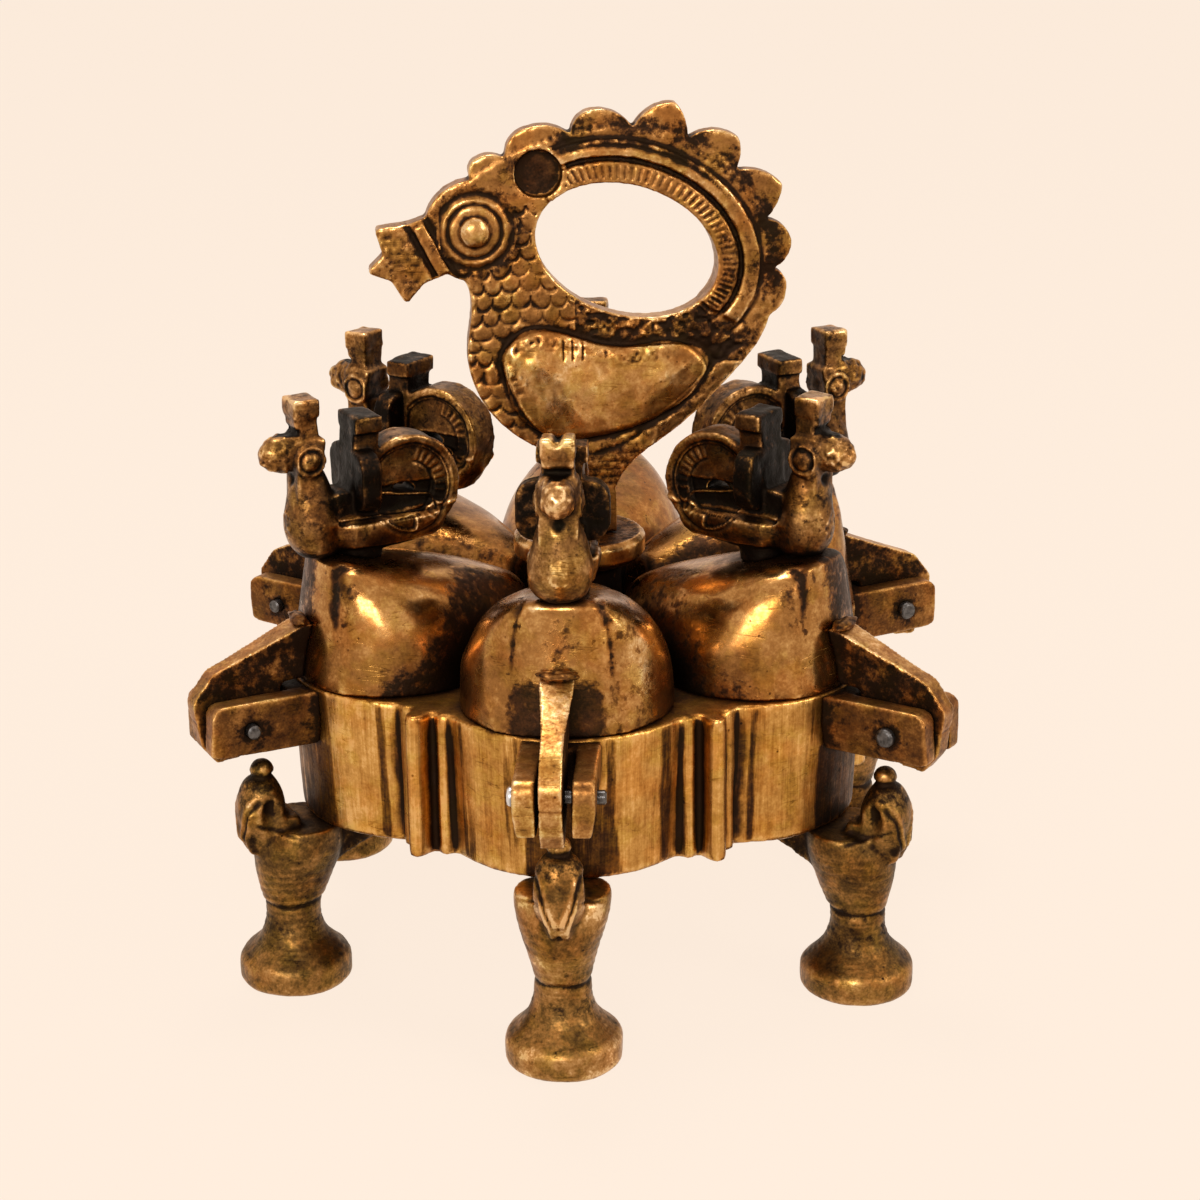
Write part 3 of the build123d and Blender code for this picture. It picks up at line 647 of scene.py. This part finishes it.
def bird_wear(points, place, zones):
    """Soot, painted shadow under its base and tone of a bird; the front one is the brightest."""
    out, _, up, side, tail_r, fan, _ = zones
    on_tail = side * (tail_r < 7.0) * (out < 41)
    soot_and_shade = (0.16 if place == "front" else 0.27) + 0.5 * inside(up, 85.2, 89.4, 0.5) * on_tail
    soot_and_shade = soot_and_shade + 0.45 * side * inside(out, 40.5, 49, 1) * inside(up, 85, 96, 1)
    # the first term is painted shadow under the bird's base
    soot_and_shade = soot_and_shade + 0.6 * below(up, 80.0, 0.9) + 0.7 * inside(up, 100.2, 101.6, 0.3) * (out > 53.5)
    soot_and_shade = soot_and_shade + 0.45 * inside(out, 39, 45.6, 0.4) * (up > 86) * (1 - side)
    tone = 0.16 * above(out, 50, 3) + 0.14 * above(up, 104.5, 1.5) + 0.10 * lumps(points, 4, 12)
    tone = tone + 0.10 * line(tail_r - 6.0, 2.6) * fan + 0.16 * line(tail_r - 8.6, 1.5) * (out < 38)
    tone = tone + 0.22 * line(up - 84.9, 1.2) * side * (out < 48)
    if place == "front":
        tone = tone + 0.04 + 0.08 * above(out, 56.5, 2) * (up > 93) + 0.16 * above(up, 103.5, 1.5)
    return soot_and_shade, tone


def carved_bird(place):
    """Bird with a ribbed, stepped tail, ringed eyes, a notched crest and a ragged boat edge."""
    mesh = skin_of(f"{place}_bird", SKINS["bird"])
    points, normals = points_of(mesh)
    zones = bird_zones(points, normals, place)
    out, across, up, side, tail_r, fan, ribs = zones
    soften(mesh, 5, np.full(len(points), 0.9))
    soften(mesh, 22, inside(up, 79.6, 86.6, 1) * inside(out, 26, 49, 1.5))
    step = side * (tail_r < 7.0) * (out < 41) * inside(up, 80, 89.6, 0.25)
    step = step * below(tail_r, 5.0 + 3 * (out > 34), 0.4)
    bands = 0.30 * line(tail_r - 7.5, 0.8) * side * (out < 40) + 0.22 * line(tail_r - 4.5, 0.6) * fan
    eye_r = apart(out, up, BIRD_EYE)
    eye = (0.30 * line(eye_r - 1.9, 0.7) + 0.15 * lumps(points, 0.9, 3) * (eye_r < 3.2)) * side
    notch = line(across, 1.3) * above(up, 104.9, 1.2) * (place == "front")
    under_beak = line(up - 100.9, 1.1) * above(out, 53, 0.8) * (np.abs(across) < 3)
    chin = np.exp(-(up - 92.2) ** 2 - across**2) * (out > 52)
    ledge = line(up - 84.6 - 0.7 * lumps(points, 4, 2) - 0.06 * (44 - out), 1.3) * below(out, 50, 2) * side
    hull = inside(up, 79.4, 84.6, 0.8) * inside(out, 27, 47, 2)
    wrinkles = 0.16 * lumps(points, 2.2, 11) + 0.22 * lumps(points, 0.9, 12) * (out > 55.5)
    carve(mesh, 0.2 * ribs - 0.55 * step - bands - eye - 0.9 * notch - 0.6 * under_beak - 0.8 * chin
          + 0.45 * ledge + 0.8 * hull + wrinkles)
    return mesh, *bird_wear(points, place, zones)


def carved_leg(place):
    """Leg with tool marks across it, brows and cheeks on its head and a groove under its knob."""
    mesh = skin_of(f"{place}_leg", SKINS["leg"])
    points, _ = points_of(mesh)
    out, across, up = turned(points, TURNS[place])
    aside = np.abs(across)
    soften(mesh, 4, np.full(len(points), 0.9))
    wobble = up + 0.6 * lumps(points, 5, 4)
    marks = (ticks(wobble, 1.5) - 0.5) * inside(up, 8.5, 28, 2) * np.clip(0.6 + lumps(points, 5, 6), 0, 1)
    cuts = (ticks(wobble, 0.8) - 0.5) * inside(up, 5, 17, 0.6) * np.clip(lumps(points, 4, 7) + 0.4, 0, 1)
    on_head = above(out, HEAD_R - 4.5, 1.5) * (up > 24)
    brow = line(aside - 0.26 * (up - 25), 1.4) * inside(up, 27, 37, 1.5) * (out > HEAD_R)
    cheek = line(aside - 0.7 - 0.30 * (up - 26), 1.0) * inside(up, 27, 37, 1.5) * (out > HEAD_R - 1)
    pit = np.exp(-((up - 25.6) ** 2 + across**2) / 0.35) * (out > HEAD_R)
    lip = line(up - 31.0 - 0.35 * (out - HEAD_R), 0.8) * above(aside, 3.2, 1)
    collar = line(up - 39.9, 1.0)
    head = on_head * (0.30 * brow - 0.45 * cheek - 0.7 * pit - 0.30 * lip - 0.40 * collar)
    carve(mesh, 0.08 * marks + 0.07 * cuts - 0.30 * line(wobble - 15.4, 1.0) + head
          + 0.16 * lumps(points, 4, 8))
    pinch(mesh, place, 0.30 * on_head * below(up, 31.0, 5) * above(out, HEAD_R + 1, 2))
    soot_and_shade = 0.12 + 0.40 * inside(up, 9, 14, 2) * (0.5 + 0.5 * lumps(points, 6, 1))
    # the second term is painted shade under the body, on the inner side of the leg
    soot_and_shade = soot_and_shade + 0.40 * on_head * above(up, 34, 4) + 0.5 * below(out, 52, 5) * (up > 20)
    soot_and_shade = soot_and_shade + 0.3 * line(wobble - 15.6, 1.6)
    tone = 0.08 * lumps(points, 5, 13) + 0.12 * below(up, 5.6, 1) + 0.10 * inside(up, 17, 22, 2)
    tone = tone + 0.10 * on_head * inside(up, 26, 34, 2)
    # painted shade: every leg but the front one darker, the right ones most
    if place != "front":
        tone = tone - 0.10 - 0.06 * (place in RIGHT)
    return mesh, soot_and_shade, tone


def carved_arm(place):
    """Hinge arm with a filed bend across its middle; the front one is painted lightest."""
    mesh = skin_of(f"{place}_hinge_arm", SKINS["hinge_arm"])
    points, normals = points_of(mesh)
    out, _, up = turned(points, TURNS[place])
    carve(mesh, -0.14 * line(up - PIN_Z - 0.6, 0.7) * (out > PIN_R + 5))
    side = np.clip((sideways(normals, TURNS[place]) - 0.6) * 3, 0, 1)
    soot_and_shade = (0.35 * inside(up, 55, 67, 1.5) + 0.22) * side + 0.5 * below(out, 56.5, 2)
    # painted light on the front arm and on the upper faces, painted shade on the flat sides
    tone = ((0.12 if place == "front" else 0.0) + 0.10 * above(up, 58, 4)) * (1 - side) - 0.16 * side
    return mesh, soot_and_shade, tone


def carved_bracket(place):
    """Hinge bracket with soot in the slot, round the pin and against the wall."""
    mesh = skin_of(f"{place}_hinge_bracket", SKINS["hinge_bracket"])
    points, normals = points_of(mesh)
    out, across, up = turned(points, TURNS[place])
    soften(mesh, 3, np.full(len(points), 0.8))
    round_pin = line(apart(out, up, (PIN_R, PIN_Z)), 7.2)
    soot_and_shade = np.maximum.reduce((0.8 * round_pin, 0.7 * below(out, 59, 5),
                              0.75 * below(np.abs(across), 3.2, 0.4)))
    rubbed = np.clip((np.abs(normals[:, 2]) - 0.6) * 3, 0, 1) + above(out, 72.4, 0.8)
    tone = 0.12 * np.clip(rubbed, 0, 1) + 0.08 * lumps(points * (1, 1, 0.3), 2.5, 3)
    return mesh, soot_and_shade, tone - (0.04 if place == "front" else 0.19)


def lobe_soot(points, place, seed):
    """Soot on one lobe's wall: beside and under its hinge, down its far side and in streaks."""
    _, across, up = turned(points, TURNS[place])
    across = across + 0.9 * lumps(points * (1, 1, 0.12), 3, seed)
    streaks = inside(lumps(points * (1, 1, 0.06), 3.2, seed + 5), 0.3, 2, 0.4)
    soot_and_shade = np.maximum.reduce(((0.95 if place == "front" else 0.7) * inside(across, 6.7, 9.6, 0.8),
                              0.4 * inside(across, -9.2, -7.0, 0.8),
                              0.95 * inside(across, -6.8, 9.4, 0.8) * below(up, 47.5, 1.5),
                              0.42 * streaks))
    if place in LEFT:
        soot_and_shade = np.maximum(soot_and_shade, 0.55 * inside(across, -20, -7.5, 2))
    if place in RIGHT:
        soot_and_shade = np.maximum(soot_and_shade, 0.55 * inside(across, 7.5, 20, 2))
    return soot_and_shade


def valley_soot(across, place):
    """Soot in the grooves between the reeds of the valley to the right of a lobe."""
    wide = 3.6 if place == "front" else 1.5
    return np.maximum.reduce((0.75 * line(np.abs(across) - 2.3, 1.6),
                              0.75 * line(np.abs(across) - 5.3, 1.9),
                              0.9 * line(across + 8.6, wide), 0.7 * line(across - 8.2, 1.6)))


def carved_body():
    """Casting with soot in the reeded valleys, beside the hinges and in the cups, painted light and shade
    on its walls lobe by lobe, and painted shade on its downward faces and middle reeds.
    """
    mesh = skin_of("box_body", SKINS["box_body"])
    points, normals = points_of(mesh)
    soften(mesh, 2, np.full(len(points), 0.7))
    level, up = normals[:, 2], points[:, 2]
    reach = np.hypot(points[:, 0], points[:, 1])
    wall = np.clip(1 - np.abs(level) * 1.5, 0, 1) * (reach > 44)
    in_cups = (reach < 51) & (up > BODY_BOTTOM + 1) & (up < RIM_Z - 1) & (wall < 0.5)
    soot_and_shade = 0.4 * in_cups
    tone = 0.10 * lumps(points * (1, 1, 0.2), 7, 2)
    # the top faces of the rim are darker, and the downward faces get painted shade
    tone = tone - 0.28 * (level > 0.8) * (up > RIM_Z - 0.6) - 0.2 * (level < -0.6)
    for k, place in enumerate(PLACES):
        out, across, _ = turned(points, TURNS[place])
        here = wall * (out > 40) * below(np.abs(across), 21, 1)
        soot_and_shade = np.maximum(soot_and_shade, here * lobe_soot(points, place, k))
        # painted light and shade on the wall, lobe by lobe
        tone = tone + here * LOBE_LIGHTING[k]
        out, across, _ = turned(points, TURNS[place] + radians(30))
        soot_and_shade = np.maximum(soot_and_shade, wall * (out > 40) * valley_soot(across, place))
        # painted shade on the middle reed of each valley, against the lamp's highlight there
        tone = tone - 0.10 * wall * (out > 48.5) * (np.abs(across) < 1.8)
    carve(mesh, 0.12 * lumps(points, 8, 1) + 0.05 * lumps(points * (1, 1, 0.1), 1.6, 4) * wall)
    return mesh, soot_and_shade, tone


# The peacock, seen from its left side: u runs from beak to tail and z is up

def oval_ring(u, z):
    """How far outside the finger hole's oval each point lies, and its turn round it."""
    p = (u - HOLE_CENTRE[0]) * cos(HOLE_TILT) + (z - HOLE_CENTRE[1]) * sin(HOLE_TILT)
    q = -(u - HOLE_CENTRE[0]) * sin(HOLE_TILT) + (z - HOLE_CENTRE[1]) * cos(HOLE_TILT)
    low, high = np.full(len(u), -4.0), np.full(len(u), 70.0)
    for _ in range(18):
        grow = (low + high) / 2
        outside = (p / (HOLE_LONG + grow)) ** 2 + (q / (HOLE_SHORT + grow)) ** 2 > 1
        low, high = np.where(outside, grow, low), np.where(outside, high, grow)
    return low, np.arctan2(q / (HOLE_SHORT + low), p / (HOLE_LONG + low))


def within(u, z, path):
    """1 inside a closed path and 0 outside it."""
    odd = np.zeros(len(u), bool)
    for (u0, z0), (u1, z1) in zip(path, path[1:]):
        cut = (z0 > z) != (z1 > z)
        odd ^= cut & (u < (u1 - u0) * (z - z0) / (z1 - z0 + 1e-12) + u0)
    return odd.astype(float)


def scale_lines(u, z):
    """Grooves round rows of overlapping scales, from 0 to 1."""
    row = np.floor(z / SCALE_ROW)
    across = (u + 0.5 * SCALE_PITCH * (row % 2)) % SCALE_PITCH - SCALE_PITCH / 2
    fall = z - row * SCALE_ROW - SCALE_ROW
    return line(np.hypot(across, fall * 0.85) - 1.75, 0.62)


def refined_peacock():
    """Skin of the peacock, finer where its tail is cut with small ribs."""
    mesh = skin_of("peacock_handle", SKINS["peacock_handle"])
    points, _ = points_of(mesh)
    u, _, z = turned(points, PEACOCK_TURN)
    grow, _ = oval_ring(u, z)
    fine = inside(grow, 0.2, 4.4, 0.1) * (z > 112)
    shape = bmesh.new()
    shape.from_mesh(mesh)
    chosen = [e for e in shape.edges if fine[e.verts[0].index] and fine[e.verts[1].index]]
    bmesh.ops.subdivide_edges(shape, edges=chosen, cuts=1, use_grid_fill=True)
    bmesh.ops.triangulate(shape, faces=[f for f in shape.faces if len(f.verts) > 4])
    shape.to_mesh(mesh)
    shape.free()
    return mesh


# Each of these returns how far a form is raised, its soot and its tone.

def tail_cuts(points, u, z, grow, around):
    """Tail with small ribs round the hole, ring lines, a notched edge and dark feather feet."""
    tail = inside(around, -0.48, 2.55, 0.06) * (apart(u, z, DIMPLE_PLACE) > 5.0)
    worn = np.clip(0.85 + 0.8 * lumps(points, 6, 2), 0.35, 1)
    half_girth = (HOLE_LONG + HOLE_SHORT) / 2
    ribs = (ticks(around * (half_girth + 2), 1.15) - 0.6) * inside(grow, 0.6, 3.3, 0.4) * tail
    behind = inside(around, 0.7, 2.5, 0.5)
    rings = line(grow - 4.15, 0.8) + line(grow - 8.0, 0.9) * worn + 1.2 * line(grow - 6.4, 0.7) * behind
    band = inside(grow, 6.3, 8.2, 0.3) * behind
    notches = (1 - ticks(around * (half_girth + 9), 1.35)) * inside(grow, 8.4, 10.2, 0.5)
    notches = notches * np.clip(lumps(points, 6, 5) * 2 + 0.2, 0, 1) * inside(around, -0.9, 2.6)
    feet = 0.0
    for turn in TAIL_VALLEYS:
        foot = (TAIL_CENTRE[0] + VALLEY_REACH * cos(radians(turn)),
                TAIL_CENTRE[1] + VALLEY_REACH * sin(radians(turn)))
        feet = np.maximum(feet, line(apart(u, z, foot), 8.0))
    push = 0.34 * ribs * worn - (0.24 * rings + 0.12 * band) * tail - 0.22 * notches - 0.2 * feet
    soot_and_shade = (0.42 * band + 0.16 * rings + 0.20 * inside(grow, 0.7, 4.2, 0.3)) * tail + 0.52 * feet
    soot_and_shade = soot_and_shade + 0.25 * inside(around, -0.95, 0.9, 0.4) * inside(grow, 0.5, 8)
    return push, soot_and_shade, 0.04 * inside(grow, 4.6, 7.6, 0.3) * tail - 0.12 * feet


def wing_cuts(points, u, z, wing, in_wing, stipple):
    """Proud wing with a groove round it, flecks, a grained top and a painted highlight on its left."""
    round_it = 1 - in_wing
    crown = in_wing * inside(wing, 0.4, 3.0, 0.6) * inside(u, -14, 17, 2) * (z > 103)
    flecks = np.clip(lumps(points, 1.3, 6) - 0.4, 0, 1) * in_wing
    flecks = flecks * (inside(wing, 0.3, 2.4, 0.6) + (u < -4) * (z > 106))
    push = 0.9 * in_wing * (1 - line(wing, 10)) - 0.35 * line(wing - 0.5, 0.9) * round_it
    push = push + 0.16 * stipple * crown - 0.35 * flecks
    soot_and_shade = 0.45 * line(wing - 0.5, 1.6) * round_it + 0.2 * crown
    # the second term is a painted highlight on the left of the wing
    tone = in_wing * (0.17 * above(wing, 1, 3) + 0.10 * line(u + 6, 10) * line(z - 104, 9))
    return push, soot_and_shade, tone


def head_cuts(points, u, z, stipple):
    """Head with rings round its eye, a collar's two grooves and a grained beak."""
    eye_r = apart(u, z, EYE_PLACE)
    beak = below(u, -26.5, 1)
    collar = (u + 25.1) * cos(COLLAR_TILT) + (z - 127.3) * sin(COLLAR_TILT)
    by_collar = (u < -20.5) * (eye_r > 6.6) * (z > 120)
    rings = 0.24 * line(eye_r - 2.9, 0.6) + 0.42 * line(eye_r - 4.7, 0.9)
    rings = rings + 0.30 * line(eye_r - 6.6, 1.1) * (u > -23.6)
    push = 0.16 * stipple * beak + 0.10 * lumps(points, 1.8, 4) * (1 - beak) - rings
    push = push - 0.5 * (line(collar - 1.6, 0.8) + line(collar + 1.7, 0.9)) * by_collar
    soot_and_shade = 0.45 * line(eye_r - 7.2, 2.6) + 0.28 * beak
    soot_and_shade = soot_and_shade + 0.55 * line(np.abs(collar) - 2.0, 1.2) * by_collar
    tone = 0.10 * (eye_r < 2.9) - 0.10 * inside(eye_r, 4.7, 10, 0.6) - 0.08 * beak
    return push, soot_and_shade, tone


def neck_cuts(points, u, z, grow, around, outside, stipple):
    """Scaled neck, stippled back, grained flank, nicks between them and a line on the belly."""
    neck = (u > -20.5) * (u < 1.5) * (z > 93) * (z < np.where(u > -13.5, 134.5, 126)) * outside
    neck = neck * (grow > 0.7) * (apart(u, z, EYE_PLACE) > 7.4) * (apart(u, z, DIMPLE_PLACE) > 5.4)
    neck = neck * np.clip(112.5 - z + 40 * (u < -0.5), 0, 1)
    scales = scale_lines(u + 0.8 * lumps(points, 4, 1), z + 0.6 * lumps(points, 4.5, 7)) * neck
    scales = scales * np.clip(lumps(points, 2.2, 8) + 1.1, 0.3, 1)
    back = inside(u, -2.5, 30, 1.5) * inside(grow, -0.1, 40, 0.4) * (z > 106) * (z < 123) * outside
    back = back * (1 - inside(around, -0.48, 2.55, 0.1)) * (1 - neck)
    rim = (inside(grow, 8.3, 12.5, 0.8) + 0.3 * inside(grow, 12, 30, 1)) * (z > 96)
    grained = rim * inside(around, -1.1, 2.4, 0.3)
    grained = grained + inside(u, 3, 40, 2) * (z > 90) * (z < 113) * outside * (1 - back)
    nicks = line(np.abs((u - 1.5) % 1.7 - 0.85), 0.5) * inside(u, -3.4, 1.6, 0.2)
    nicks = nicks * inside(z, 107.0, 111.3, 0.6)
    belly = line(path_distance(u, z, smooth_path(BELLY_LINE)), 0.9) * (grow > 8.6)
    push = back * (0.28 * stipple - 0.22) + 0.08 * stipple * grained
    push = push - 0.30 * scales - 0.30 * nicks - 0.22 * belly
    soot_and_shade = 0.50 * back + 0.20 * neck + 0.3 * nicks + 0.35 * belly
    soot_and_shade = soot_and_shade + (0.26 + 0.16 * lumps(points, 4, 21)) * grained
    return push, soot_and_shade, -0.02 * neck


def carved_peacock():
    """Peacock with scales, a stippled back, ribs round the finger hole and cut lines on its tail."""
    mesh = refined_peacock()
    soften(mesh, 2, np.full(len(mesh.vertices), 0.7))
    points, normals = points_of(mesh)
    u, _, z = turned(points, PEACOCK_TURN)
    side = np.clip((sideways(normals, PEACOCK_TURN) - 0.45) * 4, 0, 1) * (z > 84)
    grow, around = oval_ring(u, z)
    wing_path = smooth_path(WING, closed=True)
    wing, in_wing = path_distance(u, z, wing_path), within(u, z, wing_path)
    outside = above(wing, 0.6, 0.4) * (1 - in_wing)
    stipple = lumps(points, 0.7, 9)
    forms = (tail_cuts(points, u, z, grow, around), wing_cuts(points, u, z, wing, in_wing, stipple),
             head_cuts(points, u, z, stipple), neck_cuts(points, u, z, grow, around, outside, stipple))
    push, soot_and_shade, tone = (sum(shares) for shares in zip(*forms))
    creases = line((z * 1.3 + 0.8 * lumps(points * (1, 1, 3), 3, 3)) % 1.9 - 0.95, 0.7) * (z < 90)
    carve(mesh, (push - 0.11 * creases) * side)
    soot_and_shade = soot_and_shade + 0.95 * inside(apart(u, z, DIMPLE_PLACE), -1, 3.9, 0.5) + 0.5 * below(z, 91.5, 1.5)
    soot_and_shade = soot_and_shade + 0.12 * (z > 112) * (1 - side)
    tone = tone + 0.07 * lumps(points, 7, 15) - 0.22 * below(z, 87, 3)
    return mesh, soot_and_shade * (0.35 + 0.65 * side), tone


def carved_disc():
    """Turned disc under the peacock, dark on top with a rubbed edge."""
    mesh = skin_of("handle_disc", SKINS["handle_disc"])
    points, normals = points_of(mesh)
    up = points[:, 2]
    radius = np.hypot(points[:, 0], points[:, 1])
    on_top = (normals[:, 2] > 0.8) * (up > 70)
    carve(mesh, 0.08 * lumps(points, 5, 2) - 0.14 * below(radius, 10.6, 0.8) * on_top)
    soot_and_shade = 0.5 * (radius < 11.0) * on_top + 0.8 * (up < 70)
    tone = 0.14 * line(radius - 11.6, 0.9) * (up > 73) - 0.08 + 0.06 * lumps(points, 4, 3)
    return mesh, soot_and_shade, tone


def brasses():
    """The six finishes of the castings, by their slots."""
    return {
        "lid_brass": brass("lid brass", GOLDEN_TONES, level=0.66, mottle=0.17, wear=0.28, dirt_and_shade=0.6,
                           rough=(0.19, 0.5), grain=(0.6, 0.14)),
        "bird_brass": brass("bird brass", DARK_TONES, level=0.46, mottle=0.22, wear=0.5, dirt_and_shade=0.6,
                            rough=(0.34, 0.55)),
        "leg_brass": brass("leg brass", LEG_TONES, level=0.59, mottle=0.25, wear=0.35, dirt_and_shade=0.6,
                           rough=(0.36, 0.6), grain=(0.8, 0.4)),
        "arm_brass": brass("arm brass", GOLDEN_TONES, level=0.62, mottle=0.24, wear=0.35, dirt_and_shade=0.6,
                           rough=(0.38, 0.6), grain=(0.5, 0.3)),
        "body_brass": brass("wall brass", YELLOW_TONES, level=0.80, mottle=0.15, wear=0.14, dirt_and_shade=0.65,
                            rough=(0.30, 0.6), grain=(0.6, 0.1), brush=0.13),
        "handle_brass": brass("peacock brass", GOLDEN_TONES, level=0.64, mottle=0.16, wear=0.40,
                              dirt_and_shade=0.75, rough=(0.28, 0.6), grain=(0.7, 0.3), pits=(1.5, 0.14),
                              crumb=1.2),
    }


def dress_castings():
    """Every casting carved, worn, given its painted light and shade and put in its node's place, and a
    bead of braze on each lid.
    """
    finishes = brasses()
    tree = all_solids()
    jobs = [("box_body", carved_body(), "body_brass", (0.02, 0.05)),
            ("handle_disc", carved_disc(), "handle_brass", (0.03, 0.05)),
            ("peacock_handle", carved_peacock(), "handle_brass", (0.03, 0.06))]
    for place in PLACES:
        jobs += [(f"{place}_lid", carved_lid(place), "lid_brass", (0.008, 0.06)),
                 (f"{place}_bird", carved_bird(place), "bird_brass", (0.03, 0.10)),
                 (f"{place}_hinge_arm", carved_arm(place), "arm_brass", (0.03, 0.05)),
                 (f"{place}_hinge_bracket", carved_bracket(place), "arm_brass", (0.02, 0.05)),
                 (f"{place}_leg", carved_leg(place), "leg_brass", (0.03, 0.10))]
    for node, carved, slot_name, dent in jobs:
        finish_piece(node, carved, finishes[slot_name], dent, tree)
    for place in PLACES:
        braze_bead(place, finishes["arm_brass"])


def braze_bead(place, mat):
    """Lumpy bead of braze where the hinge arm's top meets the lid."""
    shape = bmesh.new()
    bmesh.ops.create_icosphere(shape, subdivisions=5, radius=1)
    mesh = bpy.data.meshes.new(place + "_braze_bead")
    shape.to_mesh(mesh)
    shape.free()
    ball = points_of(mesh)[0] * MM
    ball = ball * (1 + 0.22 * lumps(ball, 0.5, PLACES.index(place))[:, None])
    out, across = 54.2 + 1.5 * ball[:, 0], 3.3 * ball[:, 1] - 0.4
    up = ARM_TOP + 0.1 + 0.95 * ball[:, 2]
    turn = TURNS[place]
    x, y = out * cos(turn) - across * sin(turn), out * sin(turn) + across * cos(turn)
    points = np.stack((x, y, up), 1)
    move(mesh, points)
    even = np.ones(len(points))
    note(mesh, "edge", 0.5 + 0.3 * lumps(points, 0.6, 2))
    note(mesh, "open", even)
    note(mesh, "soot_and_shade", 0.35 * even)
    note(mesh, "tone", -0.12 * even)
    for face in mesh.polygons:
        face.use_smooth = True
    bead = bpy.data.objects.new(place + "_braze_bead", mesh)
    bpy.context.scene.collection.objects.link(bead)
    set_material(bead, mat)
    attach(bead, nodes[f"{place}_hinge_arm"]["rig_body"])


def dress_pins():
    """Dark iron pins, but for the one in front with its bright new end."""
    dark = iron("pin iron", 0.45)
    bright = iron("new pin", 0.3, new_end=True)
    for place in PLACES:
        set_material(nodes[f"{place}_hinge_pin"], bright if place == "front" else dark)


# Camera, floor and lamps

def set_camera():
    """Camera at the photograph's angle and distance."""
    lens = bpy.data.cameras.new("camera")
    lens.lens = 80.66
    lens.sensor_width = 36
    lens.shift_x = 0.0131
    lens.shift_y = 0.0058
    camera = bpy.data.objects.new("camera", lens)
    bpy.context.scene.collection.objects.link(camera)
    azimuth, elevation, roll = radians(3.6), radians(18.95), radians(0.756)
    away = Vector((sin(azimuth) * cos(elevation), -cos(azimuth) * cos(elevation), sin(elevation)))
    target, distance = Vector((0.73 * MM, 0, 60.41 * MM)), 489.1
    camera.location = target + away * distance * MM
    look = away.to_track_quat("Z", "Y").to_matrix() @ Matrix.Rotation(-roll, 3, "Z")
    camera.rotation_euler = look.to_euler()
    bpy.context.scene.camera = camera


def area_light(name, place, size, power):
    """Soft lamp at place, turned to the box."""
    lamp = bpy.data.lights.new(name, "AREA")
    lamp.shape = "RECTANGLE"
    lamp.size, lamp.size_y = size
    lamp.energy = power
    obj = bpy.data.objects.new(name, lamp)
    obj.location = place
    obj.rotation_euler = (Vector(place) - Vector((0, 0, 0.07))).to_track_quat("Z", "Y").to_euler()
    bpy.context.scene.collection.objects.link(obj)


def seen_straight(tree):
    """1 for rays from the camera, off metal or through glass, and else 0."""
    rays = tree.nodes.new("ShaderNodeLightPath").outputs
    straight = sums(tree, "ADD", rays["Is Camera Ray"], rays["Is Glossy Ray"])
    return sums(tree, "ADD", straight, rays["Is Transmission Ray"], clamp=True)


def floor_finish():
    """Cream that glows evenly where it is seen, so that only a faint shadow stays on it."""
    mat = bpy.data.materials.new("cream floor")
    mat.use_nodes = True
    tree = mat.node_tree
    tree.nodes.clear()
    matt = tree.nodes.new("ShaderNodeBsdfDiffuse")
    matt.inputs[0].default_value = (*CREAM, 1)
    glow = tree.nodes.new("ShaderNodeEmission")
    glow.inputs[0].default_value = (*CREAM, 1)
    both = tree.nodes.new("ShaderNodeMixShader")
    tree.links.new(sums(tree, "MULTIPLY", seen_straight(tree), 0.95), both.inputs[0])
    tree.links.new(matt.outputs[0], both.inputs[1])
    tree.links.new(glow.outputs[0], both.inputs[2])
    out = tree.nodes.new("ShaderNodeOutputMaterial")
    tree.links.new(both.outputs[0], out.inputs[0])
    return mat


def set_stage():
    """Cream floor and surroundings, and three soft lamps."""
    bpy.ops.mesh.primitive_plane_add(size=8)
    floor = bpy.context.object
    floor.name = "floor"
    set_material(floor, floor_finish())
    world = bpy.data.worlds.new("studio")
    bpy.context.scene.world = world
    world.use_nodes = True
    tree = world.node_tree
    back = tree.nodes["Background"]
    back.inputs[0].default_value = (*CREAM, 1)
    tree.links.new(remap(tree, seen_straight(tree), 0, 1, 0.42, 1.0), back.inputs[1])
    area_light("front softbox", (-0.16, -0.85, 0.42), (0.42, 0.34), 3.8)
    area_light("top softbox", (-0.06, 0.14, 0.72), (0.22, 0.22), 2.1)
    area_light("right softbox", (0.7, -0.35, 0.45), (0.22, 0.32), 1.7)


set_camera()
set_stage()
dress_castings()
dress_pins()
bpy.context.scene.view_settings.view_transform = "Standard"
